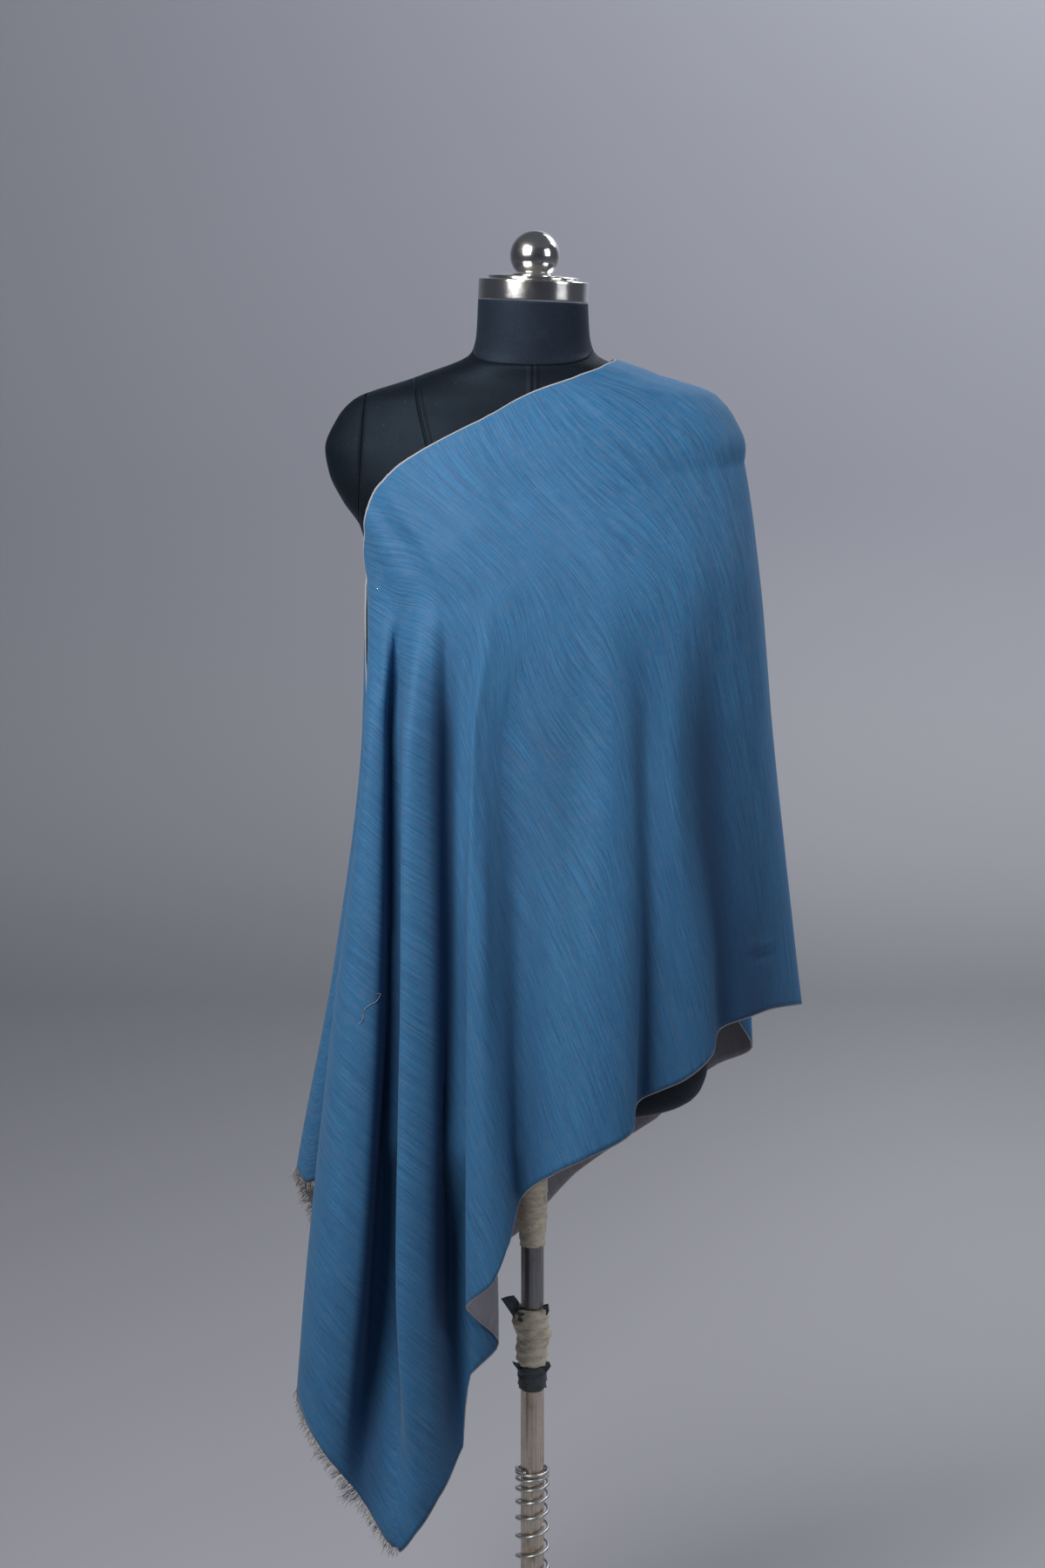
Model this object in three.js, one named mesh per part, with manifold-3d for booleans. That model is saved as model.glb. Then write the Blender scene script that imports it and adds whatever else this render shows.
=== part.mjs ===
// A wide woven stole worn over one shoulder of a limbless dress form on its stand.
// Millimetres. X is to the right in the photo, the form faces -Y, Z is up from the floor.
import * as THREE from "three";
import { mergeVertices } from "three/addons/utils/BufferGeometryUtils.js";
import Module from "manifold-3d";

const wasm = await Module();
wasm.setup();

// Cloth
const WALL = 1.6; // a woven wool stole, with the air in its weave
const CLEAR = 4; // from the form's cover to the middle of the cloth
// Down to free the cloth clears the form's full width at z, and below that it may come in
// under the form by fall for each millimetre
const RIM = { z: 800, free: 730, fall: 0.3 };
const SEAM = 0.4; // between two pieces that meet
const STEP = 19; // the width of a facet along the cloth
const COURSES = 17; // facets from hem to upper edge
const CROWDING = 1.65; // how much closer these lie near the upper edge, over the shoulder
const HUG_Z = 1445; // above this the cloth lies on the form's own shape
const STRIP = 8; // height of the edge that the fringe grows from
const STRAND = { length: 13, width: 2.2, spacing: 15, droop: 0.5, root: 1.2 };

// Form and stand
const FORM_BOTTOM = 756;
const NECK_SEAM = { z: 1548, slope: 0.33 }; // the neck's seam is lower at the front
const CAP_PLANE = { x: 180, lean: 0.06, from: 1366 }; // the covered plate that closes an armhole
const BUST = { x: 84, z: 1352, wide: 62, tall: 70, out: 13 };
const RING = { radius: 56.5, bottom: 1595.4, top: 1616 };
const RING_TILT = 2.5; // degrees that the ring and what stands on it lean towards +X
const DISC = { radius: 46.5, bottom: 1616.4, rim: 1620, crown: 1623 };
const BALL = { radius: 25.4, z: 1641, seat: 1623.4 };
const POLE_RADIUS = 12.7;
const BASE = { radius: 200, height: 14 };
const SOCKET = { radius: 24, bottom: 14.4, top: 112 };
const SPRING = { radius: 17.1, wire: 1.25, bottom: 113.7, top: 342, pitch: 18 };

// The form's outline: half its width, and its front and back from the middle, at each height
const FORM_RINGS = [
  { z: 756, half: 165, front: 104, back: 114 },
  { z: 760, half: 172, front: 109, back: 120 },
  { z: 770, half: 180, front: 115, back: 127 },
  { z: 790, half: 186, front: 118, back: 132 },
  { z: 812, half: 187, front: 119, back: 134 },
  { z: 930, half: 188, front: 117, back: 135 },
  { z: 1040, half: 165, front: 100, back: 112 },
  { z: 1140, half: 136, front: 88, back: 86 },
  { z: 1220, half: 149, front: 96, back: 92 },
  { z: 1300, half: 164, front: 101, back: 100 },
  { z: 1364, half: 178, front: 96, back: 108 },
  { z: 1391, half: 196, front: 91, back: 110 },
  { z: 1420, half: 210, front: 86, back: 108 },
  { z: 1445, half: 214, front: 80, back: 104 },
  { z: 1475, half: 202, front: 68, back: 92 },
  { z: 1496, half: 183, front: 58, back: 78 },
  { z: 1519, half: 118, front: 51, back: 66 },
  { z: 1543, half: 63, front: 52, back: 60 },
  { z: 1562, half: 58, front: 54, back: 58 },
  { z: 1600, half: 56, front: 56, back: 56 },
];

// The heights at which a fold's place is given, from the chest down
const LEVELS = [1300, 1150, 900, 600, 330];

// The line over the shoulder and down the arm side
const TURN = {
  around: 90, top: 1532, bottom: 857,
  x: [236, 250, 280, 322, 340], y: [0, 4, 6, 8, 8],
};

// Folds of the front stretch from the arm side to its hidden end. around is the angle from
// the front where it lies on the form, top and bottom are the heights of its two edges.
const FRONT = [
  { name: "side", around: 76, top: 1531, bottom: 861,
    x: [228, 240, 251, 262, 270], y: [-38, -36, -32, -30, -30] },
  { name: "side_front", around: 62, top: 1530, bottom: 856,
    x: [208, 212, 221, 226, 230], y: [-68, -66, -56, -50, -50] },
  { name: "fifth_valley", around: 50, top: 1528, bottom: 846,
    x: [184, 177, 192, 196, 200], y: [-86, -82, -66, -60, -60] },
  { name: "fifth_flank", around: 42, top: 1526, bottom: 826,
    x: [166, 160, 184, 190, 195], y: [-98, -100, -86, -84, -84] },
  { name: "fifth_ridge", around: 34, top: 1524, bottom: 806,
    x: [148, 141, 157, 166, 170], y: [-107, -112, -106, -104, -104] },
  { name: "fourth_bank", around: 24, top: 1521, bottom: 794,
    x: [126, 127, 134, 124, 120], y: [-113, -112, -113, -110, -110] },
  { name: "fourth_valley", around: 15, top: 1516, bottom: 781,
    x: [102, 114, 112, 102, 98], y: [-117, -108, -105, -96, -96] },
  { name: "fourth_flank", around: 9, top: 1512, bottom: 758,
    x: [84, 98, 104, 98, 95], y: [-119, -120, -134, -142, -142] },
  { name: "fourth_ridge", around: 3, top: 1507, bottom: 737,
    x: [62, 80, 63, 54, 50], y: [-119, -127, -151, -164, -164] },
  { name: "front_bank", around: -4, top: 1498, bottom: 715,
    x: [34, 30, 22, 18, 16], y: [-118, -122, -145, -153, -153] },
  { name: "third_valley", around: -13, top: 1480, bottom: 678,
    x: [4, -32, -20, -13, -10], y: [-117, -113, -122, -119, -118] },
  { name: "third_flank", around: -19, top: 1469, bottom: 634,
    x: [-14, -42, -38, -27, -24], y: [-117, -116, -138, -146, -146] },
  { name: "third_ridge", around: -25, top: 1458, bottom: 600,
    x: [-31, -52, -52, -42, -40], y: [-117, -120, -150, -153, -153] },
  { name: "sharp_edge", around: -31, top: 1447, bottom: 576,
    x: [-46, -61, -65, -66, -64], y: [-116, -124, -146, -144, -140] },
  { name: "under_turn", around: -36, top: 1438, bottom: 548,
    x: [-57, -64, -66, -60, -58], y: [-114, -112, -128, -107, -104] },
  { name: "under_fold", around: -40, top: 1431, bottom: 508,
    x: [-68, -72, -69, -37, -35], y: [-111, -108, -113, -74, -72] },
  { name: "under_return", around: -45, top: 1422, bottom: 482,
    x: [-80, -80, -76, -66, -64], y: [-107, -102, -111, -94, -94] },
  { name: "second_valley", around: -48, top: 1416, bottom: 402,
    x: [-89, -86, -83, -84, -68], y: [-103, -99, -109, -78, -99] },
  { name: "second_flank", around: -53, top: 1408, bottom: 354,
    x: [-101, -106, -104, -108, -98], y: [-99, -120, -140, -138, -112] },
  { name: "second_ridge", around: -57, top: 1400, bottom: 318,
    x: [-111, -124, -129, -133, -122], y: [-94, -126, -145, -148, -120] },
  { name: "corner", around: -64, top: 1386, bottom: 296,
    x: [-128, -136, -134, -141, -142], y: [-84, -78, -90, -68, -119] },
  { name: "first_valley", around: -69, top: 1374, bottom: 338,
    x: [-141, -147, -148, -164, -181], y: [-74, -66, -76, -52, -94] },
  { name: "first_flank", around: -74, top: 1362, bottom: 370,
    x: [-149, -153, -160, -180, -207], y: [-66, -88, -108, -116, -92] },
  { name: "first_ridge", around: -79, top: 1350, bottom: 405,
    x: [-158, -164, -184, -207, -236], y: [-54, -88, -104, -112, -86] },
  { name: "near_left", around: -87, top: 1330, bottom: 455,
    x: [-168, -172, -203, -236, -260], y: [-33, -52, -50, -54, -50] },
  { name: "pin", around: -94, top: 1303, bottom: 466,
    x: [-171, -170, -199, -226, -240], y: [-13, -30, -25, -28, -30] },
  { name: "first_tuck", around: -96, top: 704, bottom: 488,
    x: [-172, -172, -194, -152, -150], y: [-10, -20, -12, -30, -36] },
  { name: "hidden_fold", around: -97, top: 668, bottom: 520,
    x: [-173, -174, -196, -216, -220], y: [-8, -16, -8, 2, 4] },
  { name: "second_tuck", around: -98, top: 632, bottom: 544,
    x: [-174, -176, -196, -156, -150], y: [-6, -12, -4, 20, 22] },
  { name: "end", around: -99, top: 596, bottom: 562,
    x: [-175, -178, -198, -196, -196], y: [-4, -8, 0, 40, 44] },
];

// Folds of the back stretch, from the arm side round the back to its hidden end
const BACK = [
  { name: "arm_valley", around: 106, top: 1531, bottom: 846,
    x: [227, 232, 212, 200, 195], y: [40, 48, 54, 52, 52] },
  { name: "arm_ridge", around: 120, top: 1529, bottom: 792,
    x: [205, 212, 234, 246, 250], y: [70, 84, 84, 78, 78] },
  { name: "arm_return", around: 134, top: 1525, bottom: 762,
    x: [170, 172, 194, 200, 200], y: [92, 106, 108, 106, 106] },
  { name: "back_first", around: 150, top: 1517, bottom: 700,
    x: [120, 122, 140, 136, 134], y: [108, 110, 130, 118, 116] },
  { name: "back_second", around: 166, top: 1502, bottom: 633,
    x: [56, 50, 50, 49, 48], y: [112, 128, 156, 138, 136] },
  { name: "back_third", around: 182, top: 1484, bottom: 562,
    x: [0, -6, -22, -24, -24], y: [111, 114, 143, 124, 122] },
  { name: "back_fourth", around: 198, top: 1464, bottom: 524,
    x: [-50, -54, -68, -74, -76], y: [110, 128, 160, 150, 146] },
  { name: "back_fifth", around: 213, top: 1440, bottom: 484,
    x: [-92, -96, -112, -120, -122], y: [105, 104, 128, 116, 112] },
  { name: "back_corner", around: 228, top: 1414, bottom: 446,
    x: [-124, -132, -152, -172, -176], y: [91, 106, 128, 132, 126] },
  { name: "back_end_valley", around: 242, top: 1386, bottom: 502,
    x: [-148, -152, -174, -196, -200], y: [70, 74, 92, 96, 96] },
  { name: "left_ridge", around: 256, top: 1352, bottom: 580,
    x: [-163, -170, -198, -230, -236], y: [44, 54, 74, 92, 94] },
  { name: "far_left", around: 267, top: 1326, bottom: 660,
    x: [-172, -178, -211, -266, -290], y: [18, 24, 38, 60, 64] },
  { name: "back_pin", around: 273, top: 1303, bottom: 708,
    x: [-174, -176, -208, -246, -250], y: [4, 4, 18, 30, 34] },
  { name: "back_tuck", around: 275, top: 1060, bottom: 760,
    x: [-175, -172, -198, -206, -210], y: [3, -2, 8, 16, 16] },
  { name: "back_pleat", around: 277, top: 950, bottom: 800,
    x: [-176, -174, -192, -200, -200], y: [2, -4, 0, -4, -6] },
  { name: "back_end", around: 279, top: 872, bottom: 836,
    x: [-177, -176, -190, -196, -196], y: [1, -6, -9, -14, -14] },
];

// The slope of a curve at each of its points, which never lets it swing past one
function easedSlopes(knots, values) {
  const rise = knots.slice(1).map((k, i) => (values[i + 1] - values[i]) / (k - knots[i]));
  return knots.map((_, i) => {
    const before = rise[Math.max(i - 1, 0)];
    const after = rise[Math.min(i, rise.length - 1)];
    return before * after > 0 ? (2 * before * after) / (before + after) : 0;
  });
}

// The cubic between two points with their slopes
function hermite(a, b, slopeA, slopeB, length, t) {
  const s = 1 - t;
  return a * s * s * (1 + 2 * t) + b * t * t * (3 - 2 * t)
    + length * (slopeA * t * s * s - slopeB * t * t * s);
}

// A smooth value between the points of a column of numbers
function makeCurve(knots, values) {
  const slopes = easedSlopes(knots, values);
  return (at) => {
    const place = Math.min(Math.max(at, knots[0]), knots[knots.length - 1]);
    let i = knots.findIndex((k) => k >= place) - 1;
    if (i < 0) i = 0;
    const length = knots[i + 1] - knots[i];
    return hermite(
      values[i], values[i + 1], slopes[i], slopes[i + 1], length, (place - knots[i]) / length);
  };
}

const ringHeights = FORM_RINGS.map((r) => r.z);
const halfAt = makeCurve(ringHeights, FORM_RINGS.map((r) => r.half));
const frontAt = makeCurve(ringHeights, FORM_RINGS.map((r) => r.front));
const backAt = makeCurve(ringHeights, FORM_RINGS.map((r) => r.back));

// How far the chest stands out at one place
function bustAt(x, z) {
  const across = (Math.abs(x) - BUST.x) / BUST.wide;
  const along = (z - BUST.z) / BUST.tall;
  return BUST.out * Math.exp(-across * across - along * along);
}

// A point on the form, by its angle from the front and its height
function formPoint(around, z) {
  const turn = THREE.MathUtils.degToRad(around);
  const x = halfAt(z) * Math.sin(turn);
  const forward = Math.cos(turn);
  if (forward < 0) return new THREE.Vector3(x, -backAt(z) * forward, z);
  return new THREE.Vector3(x, -(frontAt(z) + bustAt(x, z)) * forward, z);
}

// How far outside the form a point is, as a share of the form's own size there
function formRise(p) {
  const z = Math.max(p.z, RIM.z);
  const depth = p.y < 0 ? frontAt(z) + bustAt(p.x, z) : backAt(z);
  return Math.hypot(p.x / halfAt(z), p.y / depth) - 1;
}

// The point moved straight out of the form until it is clear of it
function pushedClear(p) {
  const clear = CLEAR - RIM.fall * Math.max(RIM.free - p.z, 0);
  const out = p.clone();
  const probe = 0.5;
  for (let pass = 0; pass < 3; pass += 1) {
    const rise = formRise(out);
    const slope = ["x", "y", "z"].map((axis) => {
      const beside = out.clone();
      beside[axis] += probe;
      return (formRise(beside) - rise) / probe;
    });
    const normal = new THREE.Vector3(...slope);
    const steepness = normal.length();
    const missing = clear - rise / steepness;
    if (missing <= 0.01) break;
    out.addScaledVector(normal.normalize(), missing);
  }
  return out;
}

// One fold's line: on the form above the chest, at its own places below
function makeFold(row) {
  const hugged = [HUG_Z + 30, HUG_Z].map((z) => formPoint(row.around, z));
  const heights = [...hugged.map((p) => p.z), ...LEVELS].reverse();
  const x = makeCurve(heights, [...hugged.map((p) => p.x), ...row.x].reverse());
  const y = makeCurve(heights, [...hugged.map((p) => p.y), ...row.y].reverse());
  return (z) => (z >= HUG_Z ? formPoint(row.around, z) : new THREE.Vector3(x(z), y(z), z));
}

const rows = [...FRONT].reverse().concat([TURN], BACK);
const folds = rows.map(makeFold);
const frontSeamRow = rows.findIndex((r) => r.name === "fifth_valley");
const backSeamRow = rows.findIndex((r) => r.name === "arm_valley");
const cornerRow = rows.findIndex((r) => r.name === "corner");
const backCornerRow = rows.findIndex((r) => r.name === "back_corner");
const order = rows.map((_, i) => i);
const topAt = makeCurve(order, rows.map((r) => r.top));
const bottomAt = makeCurve(order, rows.map((r) => r.bottom));

// The direction of the cloth at a fold, from its neighbours at the same height
function foldTangent(i, z) {
  const here = folds[i](z);
  const before = folds[Math.max(i - 1, 0)](z);
  const after = folds[Math.min(i + 1, folds.length - 1)](z);
  const back = here.clone().sub(before);
  const ahead = after.clone().sub(here);
  const near = Math.max(back.length(), 0.01);
  const far = Math.max(ahead.length(), 0.01);
  return back.multiplyScalar(far / near).add(ahead.multiplyScalar(near / far)).divideScalar(near + far);
}

// The middle of the cloth, at a place counted in folds and a height
function clothPoint(place, z) {
  const i = Math.min(Math.floor(place), folds.length - 2);
  const a = folds[i](z);
  const b = folds[i + 1](z);
  const length = a.distanceTo(b);
  const startSlope = foldTangent(i, z);
  const endSlope = foldTangent(i + 1, z);
  const mix = (axis) =>
    hermite(a[axis], b[axis], startSlope[axis], endSlope[axis], length, place - i);
  return pushedClear(new THREE.Vector3(mix("x"), mix("y"), z));
}

// The places across the folds where the cloth gets a row of points
function placesAcross() {
  const places = [];
  for (let i = 0; i < folds.length - 1; i += 1) {
    const z = Math.max((bottomAt(i) + bottomAt(i + 1)) / 2, 340) + 60;
    const count = Math.max(1, Math.round(folds[i](z).distanceTo(folds[i + 1](z)) / STEP));
    for (let j = 0; j < count; j += 1) places.push(i + j / count);
  }
  places.push(folds.length - 1);
  return places;
}

// Whether the edge at this place is an end of the cloth, with a fringe, and not a side hem
function isFringed(place) {
  return place <= cornerRow || place >= backCornerRow;
}

// The share of the height that a course of facets stands at
function courseShare(course) {
  return 1 - (1 - course / COURSES) ** CROWDING;
}

const places = placesAcross();
const lastColumn = places.length - 1;
const frontSeam = places.indexOf(frontSeamRow);
const backSeam = places.indexOf(backSeamRow);

// All points of the cloth's middle, column by column from the hidden front end to the back end
const middle = places.map((place) => {
  const low = bottomAt(place) + (isFringed(place) ? STRIP + 2 * SEAM : 0);
  const high = topAt(place);
  return Array.from({ length: COURSES + 1 }, (_, course) =>
    clothPoint(place, low + (high - low) * courseShare(course)));
});

// The outward direction at each point of a grid of points
function gridNormals(grid) {
  const last = grid.length - 1;
  const top = grid[0].length - 1;
  return grid.map((column, i) => column.map((_, j) => {
    const along = grid[Math.min(i + 1, last)][j].clone().sub(grid[Math.max(i - 1, 0)][j]);
    const up = grid[i][Math.min(j + 1, top)].clone().sub(grid[i][Math.max(j - 1, 0)]);
    return along.cross(up).normalize();
  }));
}

// A closed wall on both sides of a grid of points
function wallGeometry(grid, normals) {
  const columns = grid.length;
  const courses = grid[0].length;
  const positions = [];
  for (const side of [1, -1]) {
    grid.forEach((column, i) => column.forEach((p, j) => {
      positions.push(...p.clone().addScaledVector(normals[i][j], (side * WALL) / 2).toArray());
    }));
  }
  const at = (side, i, j) => side * columns * courses + i * courses + j;
  const index = [];
  const quad = (a, b, c, d) => index.push(a, b, c, a, c, d);
  for (let i = 0; i < columns - 1; i += 1) {
    for (let j = 0; j < courses - 1; j += 1) {
      quad(at(0, i, j), at(0, i + 1, j), at(0, i + 1, j + 1), at(0, i, j + 1));
      quad(at(1, i, j), at(1, i, j + 1), at(1, i + 1, j + 1), at(1, i + 1, j));
    }
    quad(at(0, i, 0), at(1, i, 0), at(1, i + 1, 0), at(0, i + 1, 0));
    const top = courses - 1;
    quad(at(0, i, top), at(0, i + 1, top), at(1, i + 1, top), at(1, i, top));
  }
  for (let j = 0; j < courses - 1; j += 1) {
    quad(at(0, 0, j), at(0, 0, j + 1), at(1, 0, j + 1), at(1, 0, j));
    const end = columns - 1;
    quad(at(0, end, j), at(1, end, j), at(1, end, j + 1), at(0, end, j + 1));
  }
  const geometry = new THREE.BufferGeometry();
  geometry.setAttribute("position", new THREE.Float32BufferAttribute(positions, 3));
  geometry.setIndex(index);
  return geometry;
}

const normals = gridNormals(middle);

// The column of points drawn back from the stretch beside it
function drawBack(column, next) {
  column.forEach((p, j) => p.addScaledVector(next[j].clone().sub(p).normalize(), SEAM));
}

// One stretch of the stole, parted from those beside it
function stretchGeometry(from, to) {
  const grid = middle.slice(from, to + 1).map((column) => column.map((p) => p.clone()));
  if (from > 0) drawBack(grid[0], grid[1]);
  if (to < lastColumn) drawBack(grid[to - from], grid[to - from - 1]);
  return wallGeometry(grid, normals.slice(from, to + 1));
}

// The joined body of several closed geometries
function toSolid(geometry) {
  const plain = geometry.clone();
  plain.deleteAttribute("normal");
  plain.deleteAttribute("uv");
  const merged = mergeVertices(plain, 1e-4);
  return new wasm.Manifold(new wasm.Mesh({
    numProp: 3,
    vertProperties: new Float32Array(merged.attributes.position.array),
    triVerts: new Uint32Array(merged.index.array),
  }));
}

function toGeometry(solid) {
  const mesh = solid.getMesh();
  const geometry = new THREE.BufferGeometry();
  geometry.setAttribute("position", new THREE.BufferAttribute(mesh.vertProperties, 3));
  geometry.setIndex(new THREE.BufferAttribute(mesh.triVerts, 1));
  return geometry;
}

// One lock of the fringe: three flat sides from its root to a thinner tip
function strandGeometry(root, direction, length) {
  const lock = new THREE.CylinderGeometry(
    STRAND.width * 0.22, STRAND.width / 2, length, 3, 1);
  lock.translate(0, length / 2 - STRAND.root, 0);
  lock.applyQuaternion(
    new THREE.Quaternion().setFromUnitVectors(new THREE.Vector3(0, 1, 0), direction));
  lock.translate(root.x, root.y, root.z);
  return lock;
}

// A narrow strip along one end of the cloth, with its locks fused to it
function fringeGeometry(from, to) {
  const grid = places.slice(from, to + 1).map((place) =>
    [0, STRIP].map((above) => clothPoint(place, bottomAt(place) + above)));
  const outward = normals.slice(from, to + 1).map((column) => [column[0], column[0]]);
  let body = toSolid(wallGeometry(grid, outward));
  let walked = STRAND.spacing / 2;
  let count = 0;
  for (let i = 0; i < grid.length - 1; i += 1) {
    const start = grid[i][0];
    const side = grid[i + 1][0].clone().sub(start);
    const length = side.length();
    side.normalize();
    const down = side.clone().cross(outward[i][0]).normalize();
    while (walked < length) {
      const sway = 0.25 * Math.sin(count * 2.4);
      const direction = down.clone().addScaledVector(side, sway);
      direction.z -= STRAND.droop;
      const reach = STRAND.length * (0.85 + 0.15 * Math.cos(count * 1.7));
      const root = start.clone().addScaledVector(side, walked);
      body = body.add(toSolid(strandGeometry(root, direction.normalize(), reach)));
      walked += STRAND.spacing;
      count += 1;
    }
    walked -= length;
  }
  return toGeometry(body);
}

// The form's whole body, before its neck and arm plates are parted from it
function formSolid() {
  const sides = 38;
  const heights = [FORM_BOTTOM, 760, 770, 790, 812, 860, 930, 985, 1040, 1090, 1140, 1180, 1220, 1260,
    1300, 1332, 1364, 1391, 1420, 1445, 1462, 1475, 1487, 1496, 1507, 1519, 1531, 1543, 1562, 1600];
  const positions = [];
  for (const z of heights) {
    for (let s = 0; s < sides; s += 1) {
      positions.push(...formPoint((360 * s) / sides, z).toArray());
    }
  }
  positions.push(0, 0, heights[0], 0, 0, heights[heights.length - 1]);
  const bottomCentre = heights.length * sides;
  const index = [];
  for (let s = 0; s < sides; s += 1) {
    const next = (s + 1) % sides;
    for (let r = 0; r < heights.length - 1; r += 1) {
      const a = r * sides;
      const b = a + sides;
      index.push(a + s, a + next, b + next, a + s, b + next, b + s);
    }
    const top = (heights.length - 1) * sides;
    index.push(bottomCentre, next, s, bottomCentre + 1, top + s, top + next);
  }
  const geometry = new THREE.BufferGeometry();
  geometry.setAttribute("position", new THREE.Float32BufferAttribute(positions, 3));
  geometry.setIndex(index);
  return toSolid(geometry);
}

// A large block whose lower face is the neck's seam, lifted by the gap given
function aboveNeckSeam(gap) {
  const block = new THREE.BoxGeometry(600, 600, 400);
  block.translate(0, 0, 200);
  block.rotateX(Math.atan(NECK_SEAM.slope));
  block.translate(0, 0, NECK_SEAM.z + gap);
  return toSolid(block);
}

// A large block outside the armhole on one side, from the gap given
function beyondArmhole(side, gap) {
  const block = new THREE.BoxGeometry(200, 400, 200);
  block.translate(100, 0, 100);
  block.rotateY(-CAP_PLANE.lean);
  block.translate(CAP_PLANE.x + gap, 0, CAP_PLANE.from);
  if (side < 0) block.rotateZ(Math.PI);
  return toSolid(block);
}

// The lean of the ring, with the disc and the ball that stand on it
function leaned(geometry) {
  return geometry
    .translate(0, 0, -RING.bottom)
    .rotateY(THREE.MathUtils.degToRad(RING_TILT))
    .translate(0, 0, RING.bottom);
}

// A large block whose lower face is the ring's seat, lowered by the gap given
function aboveRingSeat(gap) {
  return toSolid(leaned(new THREE.BoxGeometry(300, 300, 60).translate(0, 0, 30 + RING.bottom - gap)));
}

// A turned piece from its outline, with a few flat sides
function turned(outline, sides) {
  return new THREE.LatheGeometry(outline.map(([r, z]) => new THREE.Vector2(r, z)), sides)
    .rotateX(Math.PI / 2);
}

// A round bar or sleeve along the pole, with a small chamfer at each end
function roundBar(radius, bottom, top, sides = 20) {
  const chamfer = Math.min(1, radius / 8);
  return turned([
    [0, bottom], [radius - chamfer, bottom], [radius, bottom + chamfer],
    [radius, top - chamfer], [radius - chamfer, top], [0, top],
  ], sides);
}

// The spring round the lower tube
function springGeometry() {
  const turns = (SPRING.top - SPRING.bottom) / SPRING.pitch;
  const points = Math.round(turns * 9);
  const path = Array.from({ length: points + 1 }, (_, i) => {
    const angle = (2 * Math.PI * turns * i) / points;
    return new THREE.Vector3(
      SPRING.radius * Math.cos(angle),
      SPRING.radius * Math.sin(angle),
      SPRING.bottom + (SPRING.top - SPRING.bottom) * (i / points));
  });
  const wire = new THREE.Shape();
  wire.absarc(0, 0, SPRING.wire, 0, 2 * Math.PI);
  return new THREE.ExtrudeGeometry(wire, {
    steps: points,
    curveSegments: 3,
    bevelEnabled: false,
    extrudePath: new THREE.CatmullRomCurve3(path),
  });
}

// The ball with the flat that it stands on
function ballGeometry() {
  const start = Math.asin((BALL.seat - BALL.z) / BALL.radius);
  const steps = 9;
  const outline = [[0, BALL.seat]];
  for (let i = 0; i <= steps; i += 1) {
    const angle = start + (Math.PI / 2 - start) * (i / steps);
    const radius = i === steps ? 0 : BALL.radius * Math.cos(angle);
    outline.push([radius, BALL.z + BALL.radius * Math.sin(angle)]);
  }
  return turned(outline, 24);
}

const body = formSolid();
const torso = body
  .subtract(aboveNeckSeam(-SEAM))
  .subtract(beyondArmhole(1, -SEAM))
  .subtract(beyondArmhole(-1, -SEAM));
const neck = body.intersect(aboveNeckSeam(0)).subtract(aboveRingSeat(SEAM));
const cornerColumn = places.indexOf(cornerRow);
const backCornerColumn = places.indexOf(backCornerRow);

const pieces = [
  { name: "stole_front", colour: 0x4a7dac, shape: stretchGeometry(0, frontSeam) },
  { name: "stole_arm_side", colour: 0x4a7dac, shape: stretchGeometry(frontSeam, backSeam) },
  { name: "stole_back", colour: 0x4a7dac, shape: stretchGeometry(backSeam, lastColumn) },
  { name: "fringe_front", colour: 0xb9ab94, shape: fringeGeometry(0, cornerColumn) },
  { name: "fringe_back", colour: 0xb9ab94, shape: fringeGeometry(backCornerColumn, lastColumn) },
  { name: "form_torso", colour: 0x20242c, shape: toGeometry(torso) },
  { name: "form_neck", colour: 0x282d37, shape: toGeometry(neck) },
  { name: "arm_plate_right", colour: 0x20242c,
    shape: toGeometry(body.intersect(beyondArmhole(-1, 0))) },
  { name: "arm_plate_left", colour: 0x20242c,
    shape: toGeometry(body.intersect(beyondArmhole(1, 0))) },
  { name: "neck_ring", colour: 0xc8c8c4,
    shape: leaned(roundBar(RING.radius, RING.bottom, RING.top, 36)) },
  { name: "neck_disc", colour: 0xbdbdb8, shape: leaned(turned([
    [0, DISC.bottom], [DISC.radius, DISC.bottom], [DISC.radius, DISC.rim - 1],
    [DISC.radius - 2, DISC.rim], [DISC.radius / 2, DISC.crown], [0, DISC.crown]], 32)) },
  { name: "ball_knob", colour: 0xc4c4c0, shape: leaned(ballGeometry()) },
  { name: "pole", colour: 0x4a4a4c,
    shape: roundBar(POLE_RADIUS - SEAM, 524.4, FORM_BOTTOM - SEAM) },
  { name: "pole_sleeve", colour: 0xcfc2a6, shape: roundBar(19.5, 460.4, 524) },
  { name: "pole_band", colour: 0x8b8b88, shape: roundBar(16.6, 434.4, 460) },
  { name: "lower_tube", colour: 0xb5a78f,
    shape: roundBar(POLE_RADIUS, SOCKET.top + SEAM, 434) },
  { name: "spring", colour: 0x9a9a98, shape: springGeometry() },
  { name: "base_socket", colour: 0x2a2a2c, shape: turned([
    [0, SOCKET.bottom], [SOCKET.radius + 6, SOCKET.bottom], [SOCKET.radius + 5, SOCKET.bottom + 4],
    [SOCKET.radius, SOCKET.bottom + 9], [SOCKET.radius, SOCKET.top - 2],
    [SOCKET.radius - 2, SOCKET.top], [0, SOCKET.top]], 32) },
  { name: "base", colour: 0x2a2a2c, shape: turned([
    [0, 0], [BASE.radius - 3, 0], [BASE.radius, 3], [BASE.radius, BASE.height - 5],
    [BASE.radius - 1.5, BASE.height - 1.5], [BASE.radius - 5, BASE.height], [0, BASE.height]], 48) },
];

const group = new THREE.Group();
for (const { name, colour, shape } of pieces) {
  const mesh = new THREE.Mesh(shape, new THREE.MeshStandardMaterial({ color: colour }));
  mesh.name = name;
  group.add(mesh);
}
export default group;
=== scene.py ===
import math
import random

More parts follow.
